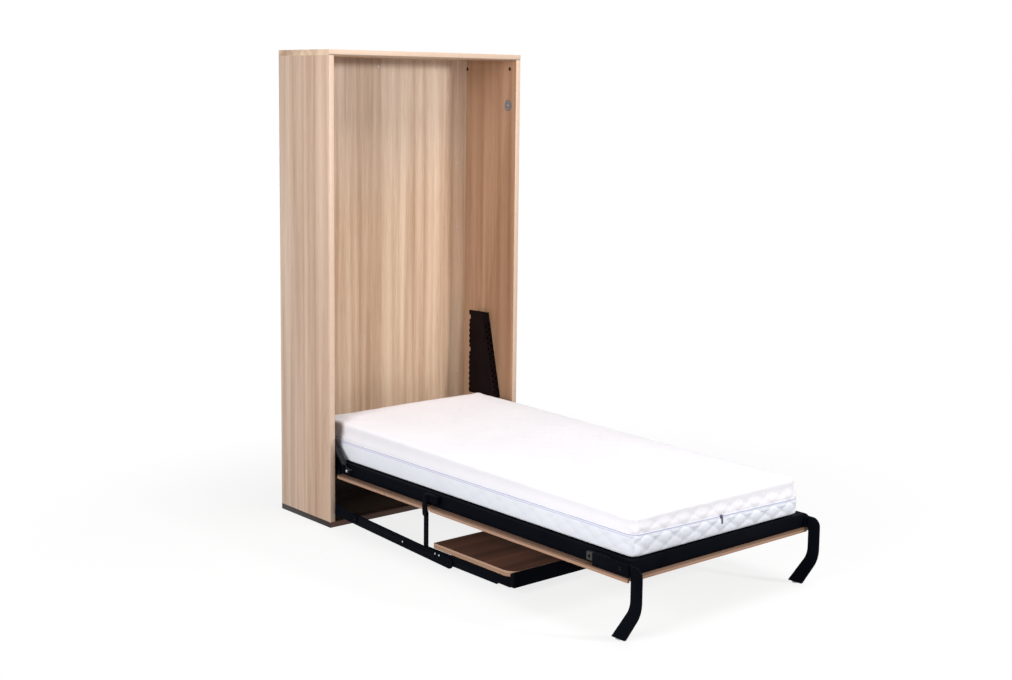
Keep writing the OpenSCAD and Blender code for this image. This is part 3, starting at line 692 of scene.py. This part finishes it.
class WALLBED_OT_boards(bpy.types.Operator):
    """Finish the cabinet boards, face panels, desk top, cleats and slats in wood"""

    bl_idname = "wallbed.boards"
    bl_label = "Boards"

    def execute(self, context):
        pale = tuple(colours().board_pale)
        dark = tuple(colours().board_dark)
        middle = tuple((a + b) / 2 for a, b in zip(pale, dark))
        band = tuple(colours().edge_band)
        strip = linear(172, 134, 110)
        edge = sizes().board_edge

        # Painted shade: copies of the wood tones, cooler and a little darker on the left board and
        # much darker and redder on the right board, for how the light falls on their faces
        left_shade_tint, right_shade_tint = (0.93, 0.92, 0.98), (0.56, 0.45, 0.39)
        left_shaded_tones = [shade(c, *left_shade_tint) for c in (pale, middle, dark)]
        right_shaded_tones = [shade(c, *right_shade_tint) for c in (pale, middle, dark)]
        # Material, three tones, grain axis, edge strip and its faces, seed, rounding, nodes
        finishes = (
            ("left side grain", *left_shaded_tones, "Z", band, "front", 0.0, edge, ("left_side_panel",)),
            ("right side grain", *right_shaded_tones, "Z", band, "front", 3.1, edge, ("right_side_panel",)),
            ("back grain with painted light and shade", pale, middle, dark, "Z", None, "front", 7.7, 0, ("back_panel",)),
            ("cross grain", pale, middle, dark, "X", band, "front", 1.3, edge, ("top_panel",)),
            # Painted shade: the bottom board and its front band are nearly black, standing in for
            # the shade under the bed
            ("base grain in painted shade", linear(36, 24, 20), linear(28, 18, 15), linear(20, 12, 10), "X",
             linear(84, 58, 48), "front", 4.3, edge, ("bottom_panel",)),
            ("face grain with painted shade", pale, middle, dark, "Y", strip, "edges", 5.2, edge,
             ("face_panel_foot", "face_panel_head")),
            ("desk grain", linear(104, 70, 56), linear(80, 53, 42), linear(54, 35, 28), "X",
             linear(176, 140, 116), "sides", 0.4, edge, ("desk_top",)),
            ("raw cleat", linear(196, 168, 130), linear(180, 150, 112), linear(160, 130, 96), "X",
             None, "front", 0.9, 0, ("top_cleat", "side_cleats")),
        )
        face_low, face_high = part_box("face_panel_foot")
        desk_low, desk_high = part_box("desk_top")
        face_rise, desk_rise = face_high.z - face_low.z, desk_high.z - desk_low.z
        top_low, top_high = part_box("top_panel")
        # Heights between which an edge strip has a darker line; on the face boards it is a painted
        # shadow of the rail along the upper part of the edge.
        lines = {
            "cross grain": (top_low.z - 0.001, top_low.z + 0.18 * (top_high.z - top_low.z)),
            "face grain with painted shade": (face_low.z + 0.66 * face_rise, face_high.z + 0.001),
            "desk grain": (desk_low.z + 0.44 * desk_rise, desk_low.z + 0.56 * desk_rise),
        }
        # Heights where a tint starts and is full, the tint, and whether only the front has it.
        # On the back board they are painted light and shade: paler and cooler at the top, and
        # nearly black under the bed.
        light_tints = {
            "back grain with painted light and shade": ((1.35, 2.0, (1.14, 1.26, 1.40), True),
                           (0.246, 0.240, (0.03, 0.025, 0.025), True)),
            # Painted light: the right side board grows paler towards the bottom
            "right side grain": ((1.0, 0.3, (1.22, 1.30, 1.36), False),),
        }
        for name, c1, c2, c3, along, strip_colour, side, seed, rounding, nodes in finishes:
            wood = grain(name, c1, c2, c3, along, strip_colour, side, seed, lines.get(name),
                         light_tints.get(name, ()))
            for node in nodes:
                if rounding:
                    soften(node, rounding, wood)
                else:
                    finish_node(node, wood)
        finish_node("slats", capped_slat("birch slat"))
        return {"FINISHED"}


class WALLBED_OT_steelwork(bpy.types.Operator):
    """Finish the frame, towers, legs, arms and fittings"""

    bl_idname = "wallbed.steelwork"
    bl_label = "Steelwork"

    # How far the edges of bent or cut steel are rounded, and on which nodes
    rounded = (
        (0.0012, ("left_side_rail", "right_side_rail", "foot_rail", "head_rail")),
        (0.0014, ("left_leg", "right_leg")),
        (0.0010, ("left_desk_arm", "right_desk_arm")),
        (0.0008, ("left_leg_bracket", "right_leg_bracket")),
        (0.0010, ("left_desk_side", "right_desk_side")),
        (0.0030, ("desk_front_tube",)),
        (0.0010, ("left_arm_plate", "right_arm_plate")),
        (0.0008, ("link_brackets",)),
    )

    def execute(self, context):
        steel = tuple(colours().steel)
        coat = powder_coat("black powder coat", steel)
        tower = powder_coat("tower coat", linear(22, 15, 15), 0.5)
        flange = powder_coat("satin black fittings", linear(20, 21, 24), 0.35)
        zinc = bare_metal("bright zinc", linear(214, 215, 218), 0.25)
        plate = powder_coat("grey plate", linear(104, 104, 110), 0.4)
        black = moulded("black moulding", linear(20, 20, 20))
        white = moulded("white moulding", linear(232, 232, 228))
        worn_by = (
            (tower, ("left_spring_tower", "right_spring_tower")),
            (plate, ("left_latch_plate", "right_latch_plate")),
            (black, ("slat_holders", "latch_catches", "pivot_bushes")),
            (white, ("left_leg_glide", "right_leg_glide")),
            (flange, ("spring_hook_bars", "arm_pivot_bolts", "link_pins", "leg_pivot_bolts",
                      "left_pivot_pin", "right_pivot_pin")),
            (zinc, ("cam_bolts", "left_latch_pin", "right_latch_pin", "spring_anchor_pins")),
        )
        for material, nodes in worn_by:
            for node in nodes:
                finish_node(node, material)
        for width, nodes in self.rounded:
            for node in nodes:
                soften(node, width, coat)
        # All that has no finish yet is black too, or gets a piece of its own in a later step
        for node in NODES:
            if node not in finished:
                finish_node(node, coat)
        return {"FINISHED"}


class WALLBED_OT_screws(bpy.types.Operator):
    """Make the screws and cams with their cross slots"""

    bl_idname = "wallbed.screws"
    bl_label = "Screws"

    # Parts of the head's radius: length and width of the cross slot, and the shank
    slot_length, slot_width, shank_share = 1.15, 0.26, 0.45
    # How far the shank reaches into the head, and the turn from one screw's slot to the next
    overlap = 0.0002
    turn_step = 0.7

    def pattern(self, radius, height, shank, slot_depth):
        """A round head with a rolled edge and a cross slot, its top on the plane z = 0."""
        head = rod(28, radius, height, -height / 2)
        round_edges(head, min(height * 0.6, radius * 0.3), 3, 60)
        bar = (radius * self.slot_length, radius * self.slot_width, slot_depth * 2)
        cutter = join([cuboid(bar, turn=turn) for turn in (0, math.pi / 2)], "cross")
        cut = head.modifiers.new("cross", "BOOLEAN")
        cut.operation = "DIFFERENCE"
        cut.use_self = True
        cut.object = cutter
        cut.solver = "EXACT"
        apply_all(head)
        bpy.data.objects.remove(cutter, do_unlink=True)
        if shank > 0:
            stem = rod(12, radius * self.shank_share, shank,
                       -height - shank / 2 + self.overlap)
            head = join([head, stem], "screw")
        return head

    def facing_of(self, node, low, high):
        """The axis that a screw's head faces, from the shape and place of its solid."""
        size = high - low
        odd = max(range(3), key=lambda i: abs(size[i] - sorted(size)[1]))
        if node == "corner_cams":
            odd = min(range(3), key=lambda i: size[i])
        axis = [0, 0, 0]
        if odd == 0:
            axis[0] = 1 if low.x + high.x < SIDE_LOW.x + RIGHT_HIGH.x else -1
        elif odd == 2:
            axis[2] = 1 if (low.z + high.z) / 2 < 1.0 else -1
        else:
            axis[1] = -1
        return axis

    # Node, axis that the head faces, radius, head height, slot depth, finish
    groups = (
        ("back_panel_screws", (0, -1, 0), 0.0042, 0.0016, 0.0011, "burnished"),
        ("corner_cams", None, 0.0075, 0.0012, 0.0009, "cam"),
        ("pivot_plate_screws", None, 0.0042, 0.0018, 0.0012, "zinc"),
        ("tower_screws", None, 0.0042, 0.0018, 0.0012, "zinc"),
        ("latch_screws", None, 0.0036, 0.0014, 0.0010, "zinc"),
        ("face_screws", (0, 0, 1), 0.0045, 0.0018, 0.0012, "zinc"),
        ("desk_fasteners", None, 0.0050, 0.0020, 0.0014, "satin"),
    )
    # Bright screws on the arm's outer face, as y and z in millimetres
    arm_screws = ((-500, 54), (-722, 58), (-748, 57))
    # Their radius, head height, shank and slot depth
    arm_screw = (0.0040, 0.0011, 0, 0.0008)

    def execute(self, context):
        finish = {
            "zinc": bare_metal("zinc screw", linear(205, 206, 210), 0.3),
            "burnished": bare_metal("plated back screw", linear(226, 226, 236), 0.5),
            "cam": bare_metal("dark cam", linear(70, 52, 44), 0.45),
            "satin": bare_metal("satin black screw", linear(30, 31, 34), 0.4),
        }
        for node, facing, radius, height, depth, kind in self.groups:
            heads = []
            made = {}
            for low, high in solids(node):
                size = high - low
                axis = Vector(facing or self.facing_of(node, low, high))
                index = max(range(3), key=lambda i: abs(axis[i]))
                across = sorted(size[i] for i in range(3) if i != index)
                face = min(radius * 2.4, across[0]) / 2
                tip = (low + high) / 2
                tip[index] = high[index] if axis[index] > 0 else low[index]
                shank = max(0.0, size[index] - height)
                key = (round(face, 5), round(shank, 4))
                if key not in made:
                    made[key] = self.pattern(face, height, shank, depth)
                angle = Matrix.Rotation(self.turn_step * len(heads), 4, "Z")
                heads.append(stamp(made[key], aimed(tip, axis) @ angle))
            for pattern in made.values():
                bpy.data.objects.remove(pattern, do_unlink=True)
            stand_in(join(heads, node + "_finish"), node, finish[kind], 35)
        for side, way in (("left", -1), ("right", 1)):
            low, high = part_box(side + "_desk_arm")
            pattern = self.pattern(*self.arm_screw)
            heads = []
            for y, z in self.arm_screws:
                tip = place(0, y, z)
                tip.x = (low.x if way < 0 else high.x) + way * self.arm_screw[1] * 0.95
                heads.append(stamp(pattern, aimed(tip, Vector((way, 0, 0)))))
            bpy.data.objects.remove(pattern, do_unlink=True)
            dress(join(heads, side + "_arm_screws"), finish["zinc"], side + "_arm",
                  35)
        return {"FINISHED"}


class WALLBED_OT_springs(bpy.types.Operator):
    """Wind the two lift springs with their hooks"""

    bl_idname = "wallbed.springs"
    bl_label = "Lift springs"

    # Upper and lower pin of a spring, and the bed's pivot, as y and z in millimetres
    hook = (240, 560)
    anchor = (-77, 270)
    pivot = (16, 240)
    coil_radius = 0.0115
    wire = 0.0019
    turn_points = 12
    # Straight wire from a pin to the coil, and the radius of each end's eye
    lead = 0.030
    # Share of the lead that is straight, and the points over which the coil opens to its width
    straight = 0.6
    opening = 24
    opening_start = 0.25
    eye = 0.0075
    lower_eye = 0.0098
    eye_points = 10

    def execute(self, context):
        metal = bare_metal("blackened spring wire", linear(52, 53, 57), 0.38)
        for side in ("left", "right"):
            low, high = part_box(side + "_lift_spring")
            x = (low.x + high.x) / 2

            def pin(y, z):
                return Vector((x, place(0, y, 0).y, z / 1000))

            top, end = pin(*self.hook), pin(*self.anchor)
            along = (end - top).normalized()
            across = Vector((1, 0, 0))
            third = along.cross(across)
            coil = (end - top).length - 2 * self.lead
            steps = int(coil / sizes().coil_pitch) * self.turn_points
            # Each eye is three quarters of a circle round its pin
            arc = [math.pi * (1.5 * i / self.eye_points - 1.0)
                   for i in range(self.eye_points + 1)]
            points = [top + along * (self.eye * math.sin(a)) + third * (self.eye * math.cos(a))
                      for a in arc]
            points.append(top + along * (self.lead * self.straight))
            for i in range(steps + 1):
                a = 2 * math.pi * i / self.turn_points
                open_share = self.opening_start + min(i, steps - i) / self.opening
                reach = self.coil_radius * min(1.0, open_share)
                points.append(top + along * (self.lead + coil * i / steps)
                              + across * (reach * math.cos(a)) + third * (reach * math.sin(a)))
            points.append(end - along * (self.lead * self.straight))
            points += [end - along * (self.lower_eye * math.sin(a))
                       + third * (self.lower_eye * math.cos(a)) for a in reversed(arc)]
            piece = tube(side + "_coil_spring", points, self.wire, sides=1)
            stand_in(piece, side + "_lift_spring", metal, 60)
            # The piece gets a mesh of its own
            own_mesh(piece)
        return {"FINISHED"}


class WALLBED_OT_mattress(bpy.types.Operator):
    """Make the quilted mattress with its zip"""

    bl_idname = "wallbed.mattress"
    bl_label = "Mattress"

    # Size of a quad of the cover, and rows of quads below and above the zip
    cell = 0.0145
    rows_below = 6
    rows_above = 5
    thickness = 0.150
    # Radius of the upright corners, and of the top and base edges
    corner = 0.034
    roll_top = 0.013
    roll_base = 0.006
    # Room left round the cover for its quilting, and how far its sides are then set back
    inset = 0.005
    sink = 0.0035
    # How much the top stands higher in its middle
    crown = 0.006
    # Length from the foot end over which the zip falls
    fall_reach = 0.9
    # Cloth simulation: its frames, and how far it may move a point
    frames = 20
    cap = 0.009
    # Depth of the quilting as a share of a diamond's puff: on the ends below the zip, on the
    # sides, on the sides' lower part towards the foot, and on the top
    end_below, side_share, side_foot, top_share = 0.95, 0.06, 0.40, 0.16
    # Waves of the cloth on the top and on the sides
    top_wave, side_wave = 0.0022, 0.0016
    # Size, height above the zip and spread of the overhang, the zip's draw and the painted grey
    # shade over the hills
    overhang = (0.0035, 0.016, 0.014)
    draw_in = (0.0060, 0.0, 0.0062)
    fold_shade = (0.30, 0.036, 0.020)
    # Radius of the zip's cord and of the hem, and how far each stands off
    cord, cord_off = 0.0016, 0.0022
    hem, hem_off = 0.0010, 0.0016
    # Thickness of the tape, and how far it hangs below the cord: on the sides, and more in front
    tape = 0.0012
    tape_drop, front_drop = 0.007, 0.011
    # Sizes of the slider and of its pull, and their place across the bed in millimetres
    slider, pull = (0.009, 0.006, 0.013), (0.0075, 0.0018, 0.026)
    pull_at = 539

    def block(self, low, high):
        """A closed block of even quads, one row of points at the seam. Returns it and that row."""
        size = high - low
        nx, ny = round(size.x / self.cell), round(size.y / self.cell)
        nz = self.rows_below + self.rows_above
        seam = sizes().seam_height
        levels = [seam * k / self.rows_below for k in range(self.rows_below)]
        levels += [seam + (size.z - seam) * k / self.rows_above for k in range(self.rows_above + 1)]
        piece = cuboid((1, 1, 1), (low + high) / 2)
        piece.name = piece.data.name = "mattress_cover"
        form = bmesh.new()
        grid = {}

        def point(i, j, k):
            key = (i, j, k)
            if key not in grid:
                grid[key] = form.verts.new((
                    low.x + size.x * i / nx, low.y + size.y * j / ny, low.z + levels[k]))
            return grid[key]

        def quad(*keys):
            form.faces.new([point(*key) for key in keys])

        for i in range(nx):
            for j in range(ny):
                quad((i, j, 0), (i, j + 1, 0), (i + 1, j + 1, 0), (i + 1, j, 0))
                quad((i, j, nz), (i + 1, j, nz), (i + 1, j + 1, nz), (i, j + 1, nz))
        for k in range(nz):
            for i in range(nx):
                quad((i, 0, k), (i + 1, 0, k), (i + 1, 0, k + 1), (i, 0, k + 1))
                quad((i, ny, k), (i, ny, k + 1), (i + 1, ny, k + 1), (i + 1, ny, k))
            for j in range(ny):
                quad((0, j, k), (0, j, k + 1), (0, j + 1, k + 1), (0, j + 1, k))
                quad((nx, j, k), (nx, j + 1, k), (nx, j + 1, k + 1), (nx, j, k + 1))
        form.verts.index_update()
        ks = self.rows_below
        ring = [grid[(i, 0, ks)].index for i in range(nx)]
        ring += [grid[(nx, j, ks)].index for j in range(ny)]
        ring += [grid[(i, ny, ks)].index for i in range(nx, 0, -1)]
        ring += [grid[(0, j, ks)].index for j in range(ny, 0, -1)]
        base = [v.index for (i, j, k), v in grid.items() if k == 0]
        form.to_mesh(piece.data)
        form.free()
        return piece, ring, base

    def seam_at(self, p, half):
        """The zip's height at a point measured from the middle; it falls to the right foot."""
        to_right = clamp(0.5 + p.x / (2 * half.x))
        to_foot = clamp((-p.y - half.y + self.fall_reach) / self.fall_reach)
        return sizes().seam_height - sizes().seam_fall * to_right * to_foot

    def round_off(self, piece, low, high):
        """Rounds the upright corners and the top and base edges, and lifts the head end."""
        centre, half = (low + high) / 2, (high - low) / 2
        seam = sizes().seam_height
        for vertex in piece.data.vertices:
            p = vertex.co - centre
            r = self.corner
            dx, dy = abs(p.x) - (half.x - r), abs(p.y) - (half.y - r)
            if dx > 0 and dy > 0:
                reach, length = max(dx, dy), math.hypot(dx, dy)
                p.x = math.copysign(half.x - r + dx / length * reach, p.x)
                p.y = math.copysign(half.y - r + dy / length * reach, p.y)
            ex, ey = abs(p.x) - (half.x - r), abs(p.y) - (half.y - r)
            if ex > 0 and ey > 0:
                inward = r - math.hypot(ex, ey)
                out = Vector((math.copysign(ex, p.x), math.copysign(ey, p.y), 0)).normalized()
            elif half.x - abs(p.x) < half.y - abs(p.y):
                inward, out = half.x - abs(p.x), Vector((math.copysign(1, p.x), 0, 0))
            else:
                inward, out = half.y - abs(p.y), Vector((0, math.copysign(1, p.y), 0))
            edge = self.roll_top if p.z > 0 else self.roll_base
            over = half.z - abs(p.z)
            if inward < edge and over < edge:
                a, b = edge - inward, edge - over
                length, reach = math.hypot(a, b), max(a, b)
                if length > 0:
                    p -= out * (edge - a / length * reach - inward)
                    p.z = math.copysign(half.z - (edge - b / length * reach), p.z)
            height = p.z + half.z
            new_seam = self.seam_at(p, half)
            top = 2 * half.z
            if height < seam:
                height = height * new_seam / seam
            else:
                height = new_seam + (height - seam) * (top - new_seam) / (top - seam)
            # The top rises towards the head and to its middle
            share = max(0.0, (height - new_seam) / (top - new_seam))
            height += sizes().head_rise * (0.5 + p.y / (2 * half.y)) * share
            fx, fy = max(0.0, 1 - (p.x / half.x) ** 2), max(0.0, 1 - (p.y / half.y) ** 6)
            height += self.crown * (fx * fy) ** 0.6 * share
            p.z = height - half.z
            vertex.co = centre + p

    def inflate(self, piece, pinned):
        """Puffs the cover up with a short cloth simulation, and limits how far a point moves."""
        pins = piece.vertex_groups.new(name="pins")
        pins.add(pinned, 1.0, "REPLACE")
        start = [v.co.copy() for v in piece.data.vertices]
        cloth = piece.modifiers.new("cloth", "CLOTH")
        fabric = {
            "quality": 4, "mass": 0.3, "tension_stiffness": 12, "compression_stiffness": 12,
            "shear_stiffness": 6, "bending_stiffness": 0.6, "use_pressure": True,
            "uniform_pressure_force": 4, "vertex_group_mass": "pins",
        }
        for name, value in fabric.items():
            setattr(cloth.settings, name, value)
        cloth.settings.effector_weights.gravity = 0
        cloth.collision_settings.use_collision = False
        cloth.point_cache.frame_start = 1
        cloth.point_cache.frame_end = self.frames
        scene = bpy.context.scene
        for number in range(1, self.frames + 1):
            scene.frame_set(number)
        activate(piece)
        bpy.ops.object.modifier_apply(modifier=cloth.name)
        scene.frame_set(1)
        for vertex, old in zip(piece.data.vertices, start):
            move = vertex.co - old
            if move.length > self.cap:
                move *= self.cap / move.length
            vertex.co = old + move
        piece.vertex_groups.clear()

    def quilt(self, u, v):
        """Height of a puffed diamond, 0 on its stitches and 1 in its middle."""
        a = abs(math.sin(math.pi * (u + v)))
        b = abs(math.sin(math.pi * (u - v)))
        return min(1.0, 1.1 * (a * b) ** 0.30)

    def stitch(self, piece, low, high):
        """Quilts the cover and marks its tones: red below the zip, green for painted shade in the
        stitches and over the hills above the zip.
        """
        mesh = piece.data
        puff, wide, tall = sizes().quilt_puff, sizes().quilt_width, sizes().quilt_height
        centre, half = (low + high) / 2, (high - low) / 2
        tone = mesh.color_attributes.new("quilt", "FLOAT_COLOR", "POINT")
        normals = [v.normal.copy() for v in mesh.vertices]
        for vertex, normal in zip(mesh.vertices, normals):
            p = vertex.co - centre
            height = vertex.co.z - low.z - self.seam_at(p, half)
            side = max(0.0, 1 - abs(normal.z) * 1.25)
            flat = max(0.0, normal.z)
            end = min(1.0, abs(normal.y) ** 1.5)
            # The long sides are smoother, most of all towards the head
            near_foot = clamp((-p.y / half.y + 0.35) / 1.2)
            along = (p.x if abs(normal.y) > abs(normal.x) else p.y) / wide
            # A row is cut by the zip, so its cells read as pointed hills; they wander a little
            wander = noise.noise_vector(Vector((p.x * 7, p.y * 7, height * 9)))
            cell = self.quilt(along + 0.10 * wander.x, height / tall + 0.07 * wander.y)
            if height >= 0:
                strength = end + (1 - end) * self.side_share * near_foot
                strength *= clamp(1.5 - height / 0.034, 0.08)
            else:
                strength = (end * self.end_below
                            + (1 - end) * (self.side_share + self.side_foot * near_foot))
            lift = puff * cell * strength * side
            # Faint diamonds and soft waves on the top
            top_cell = self.quilt(p.x / (wide * 1.15), p.y / (wide * 1.15))
            lift += puff * self.top_share * top_cell * flat
            lift += self.top_wave * flat * noise.noise(Vector((p.x * 3.1, p.y * 2.3, 0.7)))
            lift += self.side_wave * side * noise.noise(Vector((p.x * 9, p.y * 9, 4.0)))
            # Above the zip the cover hangs over it a little, and the zip draws it in
            lift += side * (hump(height, *self.overhang) - hump(height, *self.draw_in))
            if normal.z < -0.6:
                lift = 0.0
            vertex.co += normal * (lift - self.sink * side)
            below = 1.0 if height < -0.004 else 0.0
            # Painted shade in the stitch grooves
            crease_shade = max(0.0, 1 - cell * 1.55) * side * strength
            if height >= 0:
                # Painted shade lies grey over the hills above the zip
                crease_shade = max(crease_shade, end * side * (1 - 0.6 * cell) * hump(height, *self.fold_shade))
            # Faint painted shade in the stitches of the top
            crease_shade = max(crease_shade, max(0.0, 1 - top_cell * 2.2) * flat * 0.05)
            tone.data[vertex.index].color = (below * min(1.0, side * 2), crease_shade, 0, 1)
        mesh.update()

    def zip_pieces(self, piece, ring):
        """The zip's cord, tape and hem round the cover, and its slider."""
        points = piece.data.vertices
        normals = [points[i].normal for i in ring]
        outward = [Vector((n.x, n.y, 0)).normalized() for n in normals]

        def drop(y):
            """How far the tape hangs below the cord, most on the foot end."""
            return Vector((0, 0, self.tape_drop + self.front_drop * max(0.0, -y) ** 2))

        def sew(made, name, colour):
            dress(made, zip_cloth(name, colour), "bed", 60)

        route = [points[i].co + out * self.cord_off for i, out in zip(ring, outward)]
        smooth = [(route[i - 1] + route[i] * 2 + route[(i + 1) % len(route)]) / 4
                  for i in range(len(route))]
        sew(tube("zip_cord", smooth, self.cord, closed=True, sides=2), "zip teeth",
            tuple(colours().zip_cord))
        # The tape is a thin band under the cord
        form = bmesh.new()
        upper = [form.verts.new(point + Vector((0, 0, 0.002))) for point in smooth]
        lower = [form.verts.new(point + out * self.hem_off - drop(out.y))
                 for point, out in zip(smooth, outward)]
        for i in range(len(smooth)):
            j = (i + 1) % len(smooth)
            form.faces.new((upper[i], lower[i], lower[j], upper[j]))
        bmesh.ops.recalc_face_normals(form, faces=form.faces)
        tape = put("zip_tape", bpy.data.meshes.new("zip_tape"))
        form.to_mesh(tape.data)
        form.free()
        thick = tape.modifiers.new("thickness", "SOLIDIFY")
        thick.thickness = self.tape
        thick.offset = 0
        apply_all(tape)
        sew(tape, "zip tape", linear(236, 238, 248))
        edge = [point - drop(n.y) + out * self.hem_off
                for point, n, out in zip(smooth, normals, outward)]
        sew(tube("zip_hem", edge, self.hem, closed=True, sides=1), "zip hem",
            linear(186, 188, 222))
        # The slider and its hanging pull, on the foot end
        want = place(self.pull_at, 0, 0).x
        spot = min((v for v in smooth if v.y < CAD_LOW.y + 0.4), key=lambda v: abs(v.x - want))
        slider = join([cuboid(self.slider, spot + Vector((0, -0.003, 0))),
                       cuboid(self.pull, spot + Vector((0.001, -0.0075, -0.015)))], "zip_slider")
        round_edges(slider, 0.0008, 2, 30)
        dress(slider, bare_metal("zip slider", linear(96, 98, 112), 0.35), "bed")

    def execute(self, context):
        low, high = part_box("mattress")
        small_low = low + Vector((self.inset, self.inset, 0))
        small_high = Vector((high.x - self.inset, high.y - self.inset,
                             low.z + self.thickness - self.inset))
        piece, ring, base = self.block(small_low, small_high)
        self.round_off(piece, small_low, small_high)
        self.inflate(piece, base + ring)
        finer = piece.modifiers.new("finer", "SUBSURF")
        finer.levels = 1
        finer.render_levels = 1
        apply_all(piece)
        self.stitch(piece, small_low, small_high)
        cloth = cover_cloth("quilted cover", tuple(colours().cover), tuple(colours().cover_low))
        dress(piece, cloth, "bed", 80)
        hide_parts("mattress")
        self.zip_pieces(piece, ring)
        return {"FINISHED"}


class WALLBED_PT_panel(bpy.types.Panel):
    """Shows the wall bed's settings and a button for each step"""

    bl_idname = "WALLBED_PT_panel"
    bl_label = "Wall Bed"
    bl_space_type = "VIEW_3D"
    bl_region_type = "UI"
    bl_category = "Wall Bed"

    def draw(self, context):
        layout = self.layout
        for group in (context.scene.wall_bed_sizes, context.scene.wall_bed_colours):
            for name in group.bl_rna.properties.keys():
                if name not in ("rna_type", "name"):
                    layout.prop(group, name)
        for step in STEPS:
            layout.operator(step.bl_idname)


STEPS = (
    WALLBED_OT_camera,
    WALLBED_OT_stage,
    WALLBED_OT_boards,
    WALLBED_OT_steelwork,
    WALLBED_OT_screws,
    WALLBED_OT_springs,
    WALLBED_OT_mattress,
)
CLASSES = (WallBedSizes, WallBedColours, *STEPS, WALLBED_PT_panel)


def register():
    for cls in CLASSES:
        bpy.utils.register_class(cls)
    bpy.types.Scene.wall_bed_sizes = bpy.props.PointerProperty(type=WallBedSizes)
    bpy.types.Scene.wall_bed_colours = bpy.props.PointerProperty(type=WallBedColours)


def unregister():
    del bpy.types.Scene.wall_bed_colours
    del bpy.types.Scene.wall_bed_sizes
    for cls in reversed(CLASSES):
        bpy.utils.unregister_class(cls)


def main():
    """Runs every step in order."""
    register()
    bpy.ops.object.select_all(action="DESELECT")
    for step in STEPS:
        group, name = step.bl_idname.split(".")
        getattr(getattr(bpy.ops, group), name)()


if __name__ == "__main__":
    main()
